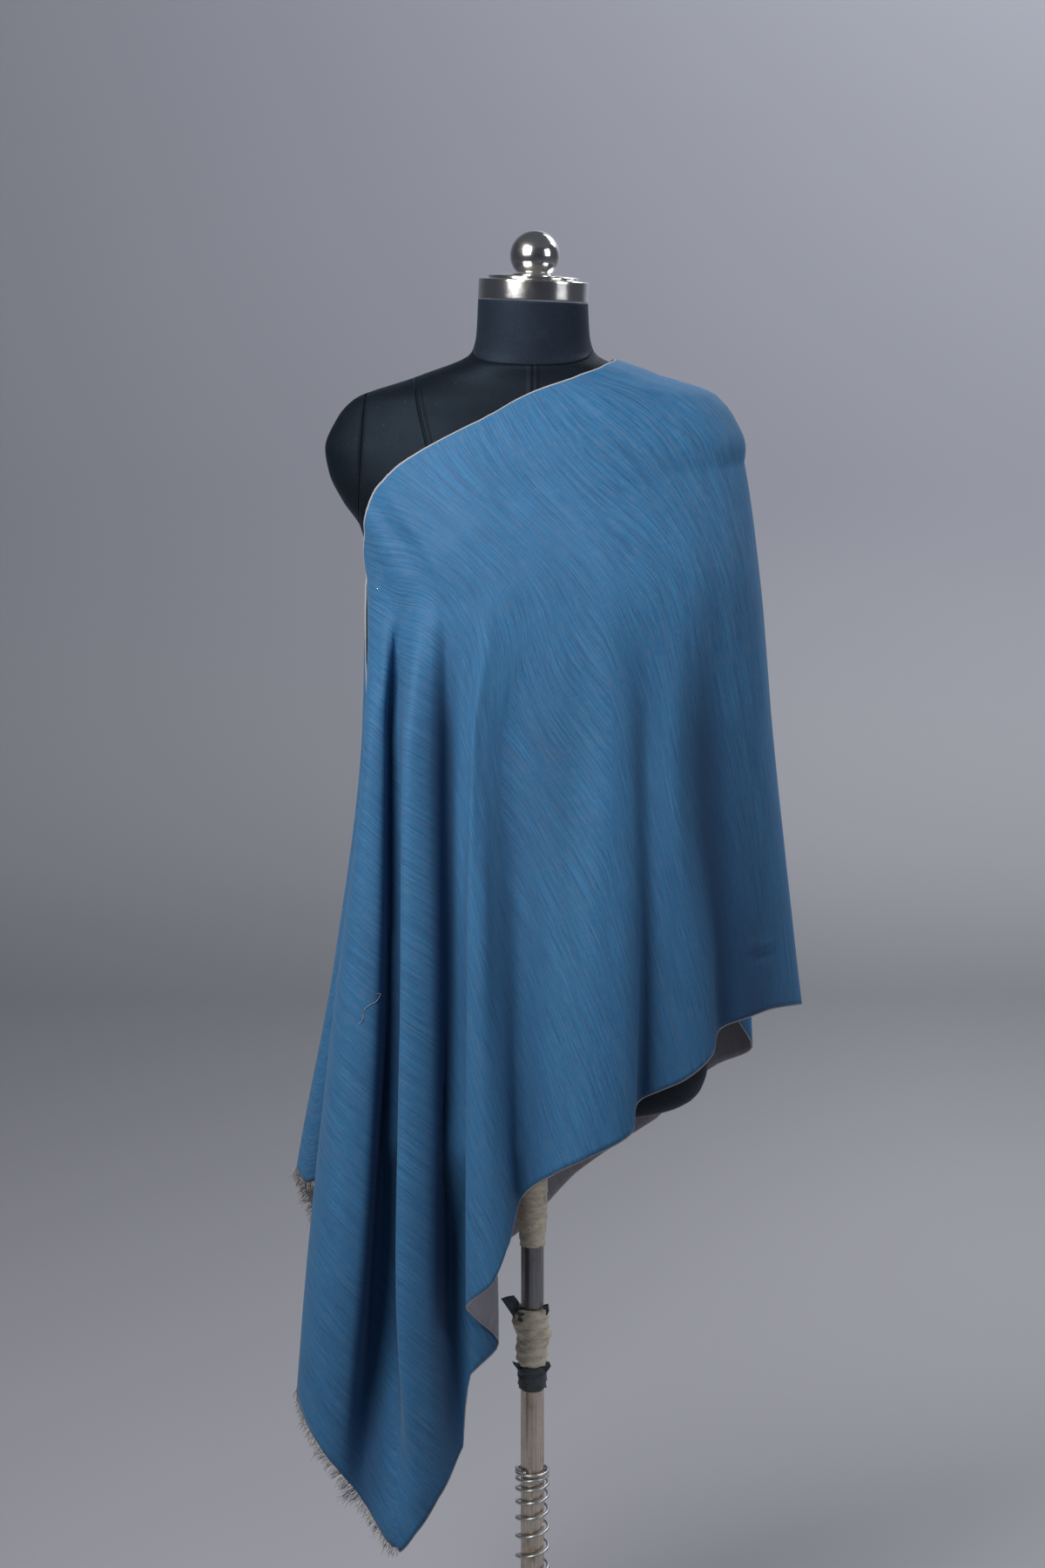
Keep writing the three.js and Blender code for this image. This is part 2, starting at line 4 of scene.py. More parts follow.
import bpy
import numpy as np
from mathutils import Euler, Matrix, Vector


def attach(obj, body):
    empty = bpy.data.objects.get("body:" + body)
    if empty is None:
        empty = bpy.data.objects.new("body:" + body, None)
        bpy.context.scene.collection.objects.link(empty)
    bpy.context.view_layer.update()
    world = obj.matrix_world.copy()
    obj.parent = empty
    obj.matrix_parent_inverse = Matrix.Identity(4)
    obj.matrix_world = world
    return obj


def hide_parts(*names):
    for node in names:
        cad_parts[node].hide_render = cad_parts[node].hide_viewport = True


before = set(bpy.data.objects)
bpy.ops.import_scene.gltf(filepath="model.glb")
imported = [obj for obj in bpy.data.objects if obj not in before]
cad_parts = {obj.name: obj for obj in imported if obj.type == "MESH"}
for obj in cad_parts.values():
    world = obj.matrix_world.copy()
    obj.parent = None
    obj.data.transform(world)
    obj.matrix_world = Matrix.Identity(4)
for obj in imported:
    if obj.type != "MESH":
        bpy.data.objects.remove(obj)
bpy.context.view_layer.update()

BODY = "root"
MM = 0.001
draw = random.Random(12)

# Sizes, in millimetres

WALL = 1.6  # thickness of the cloth
CLEAR = 4.0  # from the form's cover to the middle of the cloth
RIM_HEIGHT = 800  # below this the cloth still clears the form's full width
RIM_FREE = 730  # below this it may come in under the form, by this much for each millimetre
RIM_FALL = 0.3
HUG_HEIGHT = 1445  # above this the cloth lies on the form's own shape
HUG_STEP = 30  # how far up the form a fold's line takes its direction from
CREASED_CLEAR = 2.6  # from the form's cover to the middle of the creased cloth
CUT_WIDTH = 740
CUT_LENGTH = 2030
FORM_BOTTOM = 756
NECK_SEAM_HEIGHT = 1548
NECK_SEAM_SLOPE = 0.33
SEAM_GAP = 0.4
ARMHOLE = {"x": 180, "lean": 0.06, "low": 1367.5, "high": 1502.5, "from": 1366}
BUST = {"x": 84, "z": 1352, "wide": 62, "tall": 70, "out": 13}
RING = {"radius": 56.5, "bottom": 1595.4, "top": 1616}
RING_TILT = math.radians(2.5)
DISC = {"radius": 46.5, "bottom": 1616.4, "rim": 1620, "crown": 1623}
BALL = {"radius": 25.4, "z": 1641, "seat": 1623.4}
POLE_RADIUS = 12.7
SPRING = {"radius": 17.1, "wire": 1.7, "bottom": 113.7, "top": 342, "pitch": 18, "close": 1.5}

# The form's outline: height, half its width, its front and its back from the middle
FORM_RINGS = np.array([
    (756, 165, 104, 114),
    (760, 172, 109, 120),
    (770, 180, 115, 127),
    (790, 186, 118, 132),
    (812, 187, 119, 134),
    (930, 188, 117, 135),
    (1040, 165, 100, 112),
    (1140, 136, 88, 86),
    (1220, 149, 96, 92),
    (1300, 164, 101, 100),
    (1364, 178, 96, 108),
    (1391, 196, 91, 110),
    (1420, 210, 86, 108),
    (1445, 214, 80, 104),
    (1475, 202, 68, 92),
    (1496, 183, 58, 78),
    (1519, 118, 51, 66),
    (1543, 63, 52, 60),
    (1562, 58, 54, 58),
    (1600, 56, 56, 56),
], float)

# The heights at which a fold's place is given, from the chest down
LEVELS = [1300, 1150, 900, 600, 330]

# Folds from the hidden front end round the arm side to the hidden back end: the angle from the
# front where each lies on the form, the heights of its two edges, and its x and y at each level
FOLDS = [
    ("end", -99, 596, 562, (-175, -178, -198, -196, -196), (-4, -8, 0, 40, 44)),
    ("second_tuck", -98, 632, 544, (-174, -176, -196, -156, -150), (-6, -12, -4, 20, 22)),
    ("hidden_fold", -97, 668, 520, (-173, -174, -196, -216, -220), (-8, -16, -8, 2, 4)),
    ("first_tuck", -96, 704, 488, (-172, -172, -194, -152, -150), (-10, -20, -12, -30, -36)),
    ("pin", -94, 1303, 466, (-171, -170, -199, -226, -240), (-13, -30, -25, -28, -30)),
    ("near_left", -87, 1330, 455, (-168, -172, -203, -236, -260), (-33, -52, -50, -54, -50)),
    ("first_ridge", -79, 1350, 405, (-158, -164, -184, -207, -236), (-54, -88, -104, -112, -86)),
    ("first_flank", -74, 1362, 370, (-149, -153, -160, -180, -207), (-66, -88, -108, -116, -92)),
    ("first_valley", -69, 1374, 338, (-141, -147, -148, -164, -181), (-74, -66, -76, -52, -94)),
    ("corner", -64, 1386, 296, (-128, -136, -134, -141, -142), (-84, -78, -90, -68, -119)),
    ("second_ridge", -57, 1400, 318, (-111, -124, -129, -133, -122), (-94, -126, -145, -148, -120)),
    ("second_flank", -53, 1408, 354, (-101, -106, -104, -108, -98), (-99, -120, -140, -138, -112)),
    ("second_valley", -48, 1416, 402, (-89, -86, -83, -84, -68), (-103, -99, -109, -78, -99)),
    ("under_return", -45, 1422, 482, (-80, -80, -76, -66, -64), (-107, -102, -111, -94, -94)),
    ("under_fold", -40, 1431, 508, (-68, -72, -69, -37, -35), (-111, -108, -113, -74, -72)),
    ("under_turn", -36, 1438, 548, (-57, -64, -66, -60, -58), (-114, -112, -128, -107, -104)),
    ("sharp_edge", -31, 1447, 576, (-46, -61, -65, -66, -64), (-116, -124, -146, -144, -140)),
    ("third_ridge", -25, 1458, 600, (-31, -52, -52, -42, -40), (-117, -120, -150, -153, -153)),
    ("third_flank", -19, 1469, 634, (-14, -42, -38, -27, -24), (-117, -116, -138, -146, -146)),
    ("third_valley", -13, 1480, 678, (4, -32, -20, -13, -10), (-117, -113, -122, -119, -118)),
    ("front_bank", -4, 1498, 715, (34, 30, 22, 18, 16), (-118, -122, -145, -153, -153)),
    ("fourth_ridge", 3, 1507, 737, (62, 80, 63, 54, 50), (-119, -127, -151, -164, -164)),
    ("fourth_flank", 9, 1512, 758, (84, 98, 104, 98, 95), (-119, -120, -134, -142, -142)),
    ("fourth_valley", 15, 1516, 781, (102, 114, 112, 102, 98), (-117, -110, -111, -103, -102)),
    ("fourth_bank", 24, 1521, 794, (126, 127, 134, 124, 120), (-113, -112, -113, -110, -110)),
    ("fifth_ridge", 34, 1524, 806, (148, 141, 157, 166, 170), (-107, -112, -106, -104, -104)),
    ("fifth_flank", 42, 1526, 826, (166, 160, 184, 190, 195), (-98, -100, -86, -84, -84)),
    ("fifth_valley", 50, 1528, 846, (184, 177, 192, 196, 200), (-86, -82, -66, -60, -60)),
    ("side_front", 62, 1530, 856, (208, 212, 221, 226, 230), (-68, -66, -56, -50, -50)),
    ("side", 76, 1531, 861, (228, 240, 251, 262, 270), (-38, -36, -32, -30, -30)),
    ("turn", 90, 1532, 857, (236, 250, 280, 322, 340), (0, 4, 6, 8, 8)),
    ("arm_valley", 106, 1531, 846, (227, 232, 212, 200, 195), (40, 48, 54, 52, 52)),
    ("arm_ridge", 120, 1529, 792, (205, 212, 234, 246, 250), (70, 84, 84, 78, 78)),
    ("arm_return", 134, 1525, 762, (170, 172, 194, 200, 200), (92, 106, 108, 106, 106)),
    ("back_first", 150, 1517, 700, (120, 122, 140, 136, 134), (108, 110, 130, 118, 116)),
    ("back_second", 166, 1502, 633, (56, 50, 50, 49, 48), (112, 128, 156, 138, 136)),
    ("back_third", 182, 1484, 562, (0, -6, -22, -24, -24), (111, 114, 143, 124, 122)),
    ("back_fourth", 198, 1464, 524, (-50, -54, -68, -74, -76), (110, 128, 160, 150, 146)),
    ("back_fifth", 213, 1440, 484, (-92, -96, -112, -120, -122), (105, 104, 128, 116, 112)),
    ("back_corner", 228, 1414, 446, (-124, -132, -152, -172, -176), (91, 106, 128, 132, 126)),
    ("back_end_valley", 242, 1386, 502, (-148, -152, -174, -196, -200), (70, 74, 92, 96, 96)),
    ("left_ridge", 256, 1352, 580, (-163, -170, -198, -230, -236), (44, 54, 74, 92, 94)),
    ("far_left", 267, 1326, 660, (-172, -178, -211, -266, -290), (18, 24, 38, 60, 64)),
    ("back_pin", 273, 1303, 650, (-174, -176, -208, -246, -250), (4, 4, 18, 30, 34)),
    ("back_tuck", 275, 1060, 694, (-175, -172, -198, -206, -210), (3, -2, 8, 16, 16)),
    ("back_pleat", 277, 950, 748, (-176, -174, -192, -200, -200), (2, -4, 0, -4, -6)),
    ("back_end", 279, 872, 800, (-177, -176, -190, -196, -196), (1, -6, -9, -14, -14)),
]
FOLD_NAMES = [fold[0] for fold in FOLDS]
CORNER = FOLD_NAMES.index("corner")
BACK_CORNER = FOLD_NAMES.index("back_corner")

# Soft creases that lie over the folds: the side they are on, how far they stand out, how wide
# they are, and the x and z of the points that they run through
CREASES = [
    ("front", 2.4, 5, [(-136, 1300), (-147, 1240), (-157, 1176)]),
    ("front", -2.8, 5, [(-131, 1290), (-141, 1220), (-148, 1150)]),
    ("front", 1.6, 16, [(-150, 1310), (-110, 1330), (-40, 1375), (30, 1400)]),
    ("front", -1.4, 13, [(-158, 1290), (-118, 1288), (-62, 1300), (-20, 1330)]),
    ("front", 1.5, 12, [(-160, 1270), (-128, 1240), (-100, 1180), (-88, 1120)]),
    ("front", -1.2, 12, [(-120, 1250), (-100, 1200), (-80, 1140), (-74, 1060)]),
    ("front", 1.4, 20, [(20, 1300), (26, 1200), (16, 1100), (14, 1000)]),
    ("front", -1.5, 18, [(52, 1330), (58, 1240), (52, 1130), (44, 1010), (40, 900)]),
    ("front", 1.2, 14, [(150, 1420), (166, 1330), (170, 1240)]),
    ("front", -1.2, 14, [(128, 1390), (142, 1300), (146, 1200)]),
    ("front", 3.0, 4, [(222, 932), (236, 930), (252, 931)]),
    ("front", -2.4, 5, [(220, 924), (236, 922), (254, 924)]),
    ("front", 1.2, 10, [(-205, 700), (-200, 640), (-206, 560)]),
    ("front", -1.2, 9, [(-186, 760), (-184, 690), (-188, 600)]),
    ("front", 1.1, 10, [(-100, 520), (-104, 460), (-112, 400)]),
    ("front", 1.0, 14, [(-10, 1430), (60, 1455), (120, 1450)]),
    ("back", 1.6, 16, [(-150, 1310), (-96, 1340), (-20, 1390)]),
    ("back", -1.4, 14, [(-158, 1280), (-110, 1280), (-50, 1310)]),
    ("back", 1.5, 18, [(90, 1400), (94, 1250), (90, 1080)]),
    ("back", -1.4, 18, [(20, 1390), (24, 1240), (14, 1060)]),
    ("back", 1.4, 16, [(-80, 1180), (-90, 1000), (-98, 820)]),
    ("back", -1.2, 12, [(180, 1150), (190, 1000), (196, 860)]),
]


# Curves and the form's shape

def eased_slopes(knots, values):
    """The slope of a curve at each of its points, which never lets it swing past one."""
    rise = np.diff(values) / np.diff(knots)
    before = np.concatenate([rise[:1], rise])
    after = np.concatenate([rise, rise[-1:]])
    level = before * after <= 0
    total = np.where(level, 1.0, before + after)
    return np.where(level, 0.0, 2 * before * after / total)


def hermite(a, b, slope_a, slope_b, length, t):
    """The cubic between two points with their slopes."""
    s = 1 - t
    bend = slope_a * t * s * s - slope_b * t * t * s
    return a * s * s * (1 + 2 * t) + b * t * t * (3 - 2 * t) + length * bend


def make_curve(knots, values):
    """A smooth value between the points of a column of numbers."""
    knots = np.array(knots, float)
    values = np.array(values, float)
    slopes = eased_slopes(knots, values)

    def value_at(at):
        place = np.clip(at, knots[0], knots[-1])
        i = np.clip(np.searchsorted(knots, place) - 1, 0, len(knots) - 2)
        length = knots[i + 1] - knots[i]
        t = (place - knots[i]) / length
        return hermite(values[i], values[i + 1], slopes[i], slopes[i + 1], length, t)

    return value_at


half_at = make_curve(FORM_RINGS[:, 0], FORM_RINGS[:, 1])
front_at = make_curve(FORM_RINGS[:, 0], FORM_RINGS[:, 2])
back_at = make_curve(FORM_RINGS[:, 0], FORM_RINGS[:, 3])


def bust_at(x, z):
    """How far the chest stands out at one place."""
    across = (np.abs(x) - BUST["x"]) / BUST["wide"]
    along = (z - BUST["z"]) / BUST["tall"]
    return BUST["out"] * np.exp(-across**2 - along**2)


def form_points(around, z):
    """Points on the form, by their angle in degrees from the front and their height."""
    turn = np.radians(around)
    x = half_at(z) * np.sin(turn)
    forward = np.cos(turn)
    depth = np.where(forward < 0, back_at(z), front_at(z) + bust_at(x, z))
    return np.stack([x, -depth * forward, z + 0 * x], axis=-1)


def form_rise(points):
    """How far outside the form points are, as a share of the form's own size there."""
    x, y, z = points[:, 0], points[:, 1], np.maximum(points[:, 2], RIM_HEIGHT)
    depth = np.where(y < 0, front_at(z) + bust_at(x, z), back_at(z))
    return np.hypot(x / half_at(z), y / depth) - 1


def pushed_clear(points, clear):
    """The points moved straight out of the form until they are clear of it."""
    out = points.copy()
    needed = clear - RIM_FALL * np.maximum(RIM_FREE - points[:, 2], 0)
    probe = 0.5
    for _ in range(3):
        rise = form_rise(out)
        slope = np.stack([(form_rise(out + probe * axis) - rise) / probe for axis in np.eye(3)], axis=1)
        steepness = np.linalg.norm(slope, axis=1)
        missing = np.maximum(needed - rise / steepness, 0)
        out += slope * (missing / steepness)[:, None]
    return out


# The cloth's middle

def make_fold(fold):
    """One fold's line: on the form above the chest, at its own places below."""
    _, around, _, _, x_column, y_column = fold
    hugged = form_points(around, np.array([HUG_HEIGHT + HUG_STEP, HUG_HEIGHT], float))
    heights = [*hugged[:, 2], *LEVELS][::-1]
    x_at = make_curve(heights, [*hugged[:, 0], *x_column][::-1])
    y_at = make_curve(heights, [*hugged[:, 1], *y_column][::-1])

    def line(z):
        free = np.stack([x_at(z), y_at(z), z], axis=-1)
        return np.where((z >= HUG_HEIGHT)[:, None], form_points(around, z), free)

    return line


folds = [make_fold(fold) for fold in FOLDS]
order = np.arange(len(FOLDS))
top_at = make_curve(order, [fold[2] for fold in FOLDS])
bottom_at = make_curve(order, [fold[3] for fold in FOLDS])


def fold_tangent(i, z):
    """The direction of the cloth at a fold, from its neighbours at the same height."""
    here = folds[i](z)
    back = here - folds[max(i - 1, 0)](z)
    ahead = folds[min(i + 1, len(folds) - 1)](z) - here
    near = np.maximum(np.linalg.norm(back, axis=1), 0.01)[:, None]
    far = np.maximum(np.linalg.norm(ahead, axis=1), 0.01)[:, None]
    return (back * far / near + ahead * near / far) / (near + far)


def cloth_points(place, z):
    """The middle of the cloth, at a place counted in folds and some heights."""
    i = min(int(place), len(folds) - 2)
    a = folds[i](z)
    b = folds[i + 1](z)
    length = np.linalg.norm(b - a, axis=1)[:, None]
    points = hermite(a, b, fold_tangent(i, z), fold_tangent(i + 1, z), length, place - i)
    points[:, 2] = z
    return pushed_clear(points, CLEAR)


def places_across(columns):
    """The places across the folds where the cloth gets a row of points, closer where it shows."""
    counts = []
    for i in range(len(folds) - 1):
        levels = np.maximum(np.array(LEVELS[:0:-1], float), (bottom_at(i) + bottom_at(i + 1)) / 2)
        gap = np.linalg.norm(folds[i](levels) - folds[i + 1](levels), axis=1).mean()
        counts.append((gap + 8) * (1.25 if i < FOLD_NAMES.index("turn") else 1.0))
    counts = np.array(counts) * columns / sum(counts)
    places = []
    for i, count in enumerate(np.maximum(np.round(counts), 2).astype(int)):
        places.extend(i + np.arange(count) / count)
    return np.array(places + [len(folds) - 1])


def grid_normals(grid):
    """The outward direction at each point of a grid of points."""
    last = grid.shape[0] - 1
    top = grid.shape[1] - 1
    columns = np.arange(last + 1)
    courses = np.arange(top + 1)
    along = grid[np.minimum(columns + 1, last)] - grid[np.maximum(columns - 1, 0)]
    up = grid[:, np.minimum(courses + 1, top)] - grid[:, np.maximum(courses - 1, 0)]
    normal = np.cross(along, up)
    return normal / np.maximum(np.linalg.norm(normal, axis=2), 1e-9)[..., None]


def crease_heights(grid, normals):
    """How far each point of the cloth stands out for the soft creases that cross it."""
    x, z = grid[..., 0], grid[..., 2]
    total = np.zeros(x.shape)
    for side, out, wide, path in CREASES:
        shown = -normals[..., 1] if side == "front" else normals[..., 1]
        nearest = np.full(x.shape, 1e9)
        along = np.zeros(x.shape)
        steps = len(path) - 1
        for step, ((x0, z0), (x1, z1)) in enumerate(zip(path, path[1:])):
            run = (x1 - x0)**2 + (z1 - z0)**2
            t = np.clip(((x - x0) * (x1 - x0) + (z - z0) * (z1 - z0)) / run, 0, 1)
            apart = np.hypot(x - x0 - t * (x1 - x0), z - z0 - t * (z1 - z0))
            closer = apart < nearest
            nearest = np.where(closer, apart, nearest)
            along = np.where(closer, (step + t) / steps, along)
        fade = np.sin(np.pi * np.clip(along, 0, 1)) ** 0.7 * 0.85 + 0.15
        total += out * fade * np.exp(-(nearest / wide) ** 2) * np.clip(shown * 2, 0, 1)
    return total


def soft_waves(grid, run):
    """The slight unevenness of woven cloth that hangs."""
    x, y, z = np.moveaxis(grid, 2, 0)
    wave = np.sin(run / 31 + 1.7 * np.sin(z / 140)) * np.sin(z / 210 + run / 400)
    ripple = np.sin(run / 12.5 + 2.2 * np.sin(z / 90 + 1)) * np.sin(z / 120 + 2 + run / 150)
    small = np.sin(x / 9 + z / 37) * np.sin(z / 16 + y / 11)
    return 0.55 * wave + 0.22 * ripple + 0.07 * small


# Meshes

def add_layer(mesh, name, values):
    """One pair of numbers for each point of the mesh, which its finish can read."""
    layer = mesh.uv_layers.new(name=name)
    corner = np.empty(len(mesh.loops), np.int32)
    mesh.loops.foreach_get("vertex_index", corner)
    layer.data.foreach_set("uv", np.asarray(values, np.float32)[corner].ravel())


def new_piece(name, points, faces, materials, slots=None, runs=None, fold_shade_depths=None):
    """A mesh piece in metres from points in millimetres, which rides on the only body."""
    mesh = bpy.data.meshes.new(name)
    mesh.from_pydata((np.asarray(points, float) * MM).tolist(), [], faces)
    for material in materials:
        mesh.materials.append(material)
    mesh.polygons.foreach_set("use_smooth", [True] * len(mesh.polygons))
    if slots is not None:
        mesh.polygons.foreach_set("material_index", np.asarray(slots, np.int32))
    if runs is not None:
        add_layer(mesh, "run", runs)
    if fold_shade_depths is not None:
        add_layer(mesh, "depth", fold_shade_depths)
    mesh.validate()
    piece = bpy.data.objects.new(name, mesh)
    bpy.context.scene.collection.objects.link(piece)
    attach(piece, BODY)
    return piece


def stands_for(piece, slot, *nodes):
    """The piece is shown in place of these nodes, which are hidden; the slot is not used."""
    if nodes:
        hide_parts(*nodes)
    return piece


def grid_faces(columns, courses, closed=False, start=0, turned=False):
    """Quads over a grid of points that is stored column by column."""
    i = np.arange(columns if closed else columns - 1)
    j = np.arange(courses - 1)
    i, j = (a.ravel() for a in np.meshgrid(i, j, indexing="ij"))
    k = (i + 1) % columns
    quads = np.stack([i * courses + j, k * courses + j, k * courses + j + 1, i * courses + j + 1], 1)
    quads = start + (quads[:, ::-1] if turned else quads)
    return [tuple(quad) for quad in quads.tolist()]


def closed_faces(sides, count):
    """Quads round a tube that is stored line by line along it, with a face on each end."""
    low = [i * count for i in range(sides)]
    high = [i * count + count - 1 for i in range(sides)]
    return grid_faces(sides, count, closed=True) + [tuple(low[::-1]), tuple(high)]


def lathe_points(outline, sides):
    """The rings of a turned piece, ring by ring round the axis."""
    turn = 2 * np.pi * np.arange(sides) / sides
    outline = np.array(outline, float)
    x = np.cos(turn)[:, None] * outline[None, :, 0]
    y = np.sin(turn)[:, None] * outline[None, :, 0]
    z = np.broadcast_to(outline[None, :, 1], x.shape)
    return np.stack([x, y, z], axis=-1).reshape(-1, 3)


def turned_piece(name, outline, sides, material, shape=None):
    """A piece turned round the pole's axis from an outline that starts and ends near the axis."""
    points = lathe_points(outline, sides)
    if shape is not None:
        points = shape(points)
    return new_piece(name, points, closed_faces(sides, len(outline)), [material])


def tube_mesh(path, radius, sides=6, taper=None):
    """Points and faces of a closed tube along a path."""
    path = np.asarray(path, float)
    ahead = np.gradient(path, axis=0)
    ahead /= np.maximum(np.linalg.norm(ahead, axis=1), 1e-9)[:, None]
    side = np.cross(ahead, (0.31, 0.17, 0.93))
    side /= np.maximum(np.linalg.norm(side, axis=1), 1e-9)[:, None]
    other = np.cross(ahead, side)
    size = radius * (np.ones(len(path)) if taper is None else np.asarray(taper))
    turn = 2 * np.pi * np.arange(sides) / sides
    rings = (
        path[None]
        + np.cos(turn)[:, None, None] * (side * size[:, None])[None]
        + np.sin(turn)[:, None, None] * (other * size[:, None])[None]
    )
    return rings.reshape(-1, 3), closed_faces(sides, len(path))


def shell_edges(columns, courses):
    """Quads that close the four edges of a shell of two grids, one stored after the other."""
    count = columns * courses
    edges = []
    for i in range(columns - 1):
        a, b = i * courses, (i + 1) * courses
        edges.append((a, count + a, count + b, b))
        a, b = a + courses - 1, b + courses - 1
        edges.append((a, b, count + b, count + a))
    for j in range(courses - 1):
        edges.append((j, j + 1, count + j + 1, count + j))
        k = (columns - 1) * courses + j
        edges.append((k, count + k, count + k + 1, k + 1))
    return edges


def joined_tubes(name, tubes, materials, slots=None):
    """Many tubes as one piece."""
    points, faces, indexes, count = [], [], [], 0
    for n, (tube_points, tube_faces) in enumerate(tubes):
        points.append(tube_points)
        faces.extend(tuple(count + v for v in face) for face in tube_faces)
        indexes.extend([0 if slots is None else slots[n]] * len(tube_faces))
        count += len(tube_points)
    return new_piece(name, np.concatenate(points), faces, materials, indexes)


# Finishes

class Amount:
    """A number that changes over a surface, written as plain arithmetic."""

    def __init__(self, finish, socket):
        self.finish = finish
        self.socket = socket

    def maths(self, how, first, second):
        return self.finish.amount("ShaderNodeMath", {"operation": how}, {0: first, 1: second})

    def __add__(self, other):
        return self.maths("ADD", self, other)

    __radd__ = __add__

    def __mul__(self, other):
        return self.maths("MULTIPLY", self, other)

    __rmul__ = __mul__

    def __sub__(self, other):
        return self.maths("SUBTRACT", self, other)

    def __rsub__(self, other):
        return self.maths("SUBTRACT", other, self)

    def __abs__(self):
        return self.finish.amount("ShaderNodeMath", {"operation": "ABSOLUTE"}, {0: self})

    def kept(self):
        """The number held between 0 and 1."""
        return self.finish.amount("ShaderNodeClamp", {}, {"Value": self, "Min": 0.0, "Max": 1.0})

    def eased(self, low, high):
        """0 below low, 1 above high, with a soft step between."""
        return self.finish.amount(
            "ShaderNodeMapRange", {"interpolation_type": "SMOOTHSTEP"},
            {"Value": self, "From Min": low, "From Max": high})


class Finish:
    """A procedural material on one surface shader."""

    def __init__(self, name, **constants):
        self.material = bpy.data.materials.new(name)
        self.material.use_nodes = True
        self.tree = self.material.node_tree
        self.shader = self.tree.nodes["Principled BSDF"]
        for socket, value in constants.items():
            self.shader.inputs[socket.replace("_", " ")].default_value = value

    def node(self, kind, settings=None, sockets=None):
        made = self.tree.nodes.new(kind)
        for key, value in (settings or {}).items():
            setattr(made, key, value)
        for key, value in (sockets or {}).items():
            self.join(value, made.inputs[key])
        return made

    def join(self, value, target):
        value = value.socket if isinstance(value, Amount) else value
        if isinstance(value, bpy.types.NodeSocket):
            self.tree.links.new(value, target)
        else:
            target.default_value = value

    def amount(self, kind, settings, sockets):
        return Amount(self, self.node(kind, settings, sockets).outputs[0])

    def vary(self, **sockets):
        for socket, value in sockets.items():
            self.join(value, self.shader.inputs[socket.replace("_", " ")])

    def place(self):
        """Where a point is on the piece, in metres."""
        return self.node("ShaderNodeTexCoord").outputs["Object"]

    def run(self):
        """Where a point is along and across the cloth or the seams, in metres."""
        return self.node("ShaderNodeUVMap", {"uv_map": "run"}).outputs["UV"]

    def split(self, vector):
        parts = self.node("ShaderNodeSeparateXYZ", {}, {"Vector": vector}).outputs
        return [Amount(self, part) for part in parts]

    def noise(self, vector, scale, detail=2.0, rough=0.5):
        return self.amount(
            "ShaderNodeTexNoise", {},
            {"Vector": vector, "Scale": scale, "Detail": detail, "Roughness": rough})

    def streaks(self, vector, scales, detail, rough):
        """Noise that is stretched, with a scale of its own along each axis."""
        stretched = self.node(
            "ShaderNodeVectorMath", {"operation": "MULTIPLY"}, {0: vector, 1: scales}).outputs[0]
        return self.noise(stretched, 1.0, detail, rough)

    def blend(self, share, first, second):
        first, second = ((*c, 1.0) if isinstance(c, tuple) else c for c in (first, second))
        mixed = self.node("ShaderNodeMix", {"data_type": "RGBA"}, {0: share, 6: first, 7: second})
        return mixed.outputs[2]

    def coated(self, colour, *coats):
        """A colour under coats, each given by an amount, where it starts and is full, its share
        and its colour."""
        for amount, start, full, share, coat in coats:
            colour = self.blend(amount.eased(start, full) * share, colour, coat)
        return colour

    def relief(self, height, strength, distance):
        sockets = {"Height": height, "Strength": strength, "Distance": distance}
        return self.node("ShaderNodeBump", {}, sockets).outputs[0]


BLUE = (0.012, 0.125, 0.290)
DEEP_BLUE = (0.002, 0.060, 0.165)
PALE_BLUE = (0.030, 0.230, 0.470)
WEFT_GREY = (0.150, 0.190, 0.270)
SELVEDGE = (0.42, 0.39, 0.38)
SELVEDGE_WIDTH = 0.0012
# The colour of the painted shade in the valleys between folds.
FOLD_SHADE = (0.0005, 0.030, 0.095)


def weave(finish):
    """The threads of the cloth: fine weft streaks, warp threads, slubs, and their height."""
    run = finish.run()
    weft = finish.streaks(run, (820.0, 14.0, 1.0), 3.0, 0.6)
    warp = finish.streaks(run, (60.0, 1100.0, 1.0), 2.0, 0.6)
    broad = finish.streaks(run, (240.0, 5.0, 1.0), 4.0, 0.7)
    slub = finish.streaks(run, (1300.0, 60.0, 1.0), 2.0, 0.7)
    mottle = finish.noise(run, 600.0, 3.0, 0.8)
    return weft, warp, broad, slub, mottle


def edge_share(finish):
    """1 on the narrow selvedge along both long edges."""
    across = finish.split(finish.run())[1]
    inner, outer = SELVEDGE_WIDTH * 0.6, SELVEDGE_WIDTH * 1.3
    upper = 1 - across.eased(inner, outer)
    lower = across.eased(CUT_WIDTH * MM - outer, CUT_WIDTH * MM - inner)
    return (upper + lower).kept()


def painted_fold_shade(finish):
    """Painted shade: 0 on the crests to 1 in the valleys between folds, where the cloth lies deepest."""
    return finish.split(finish.node("ShaderNodeUVMap", {"uv_map": "depth"}).outputs["UV"])[0]


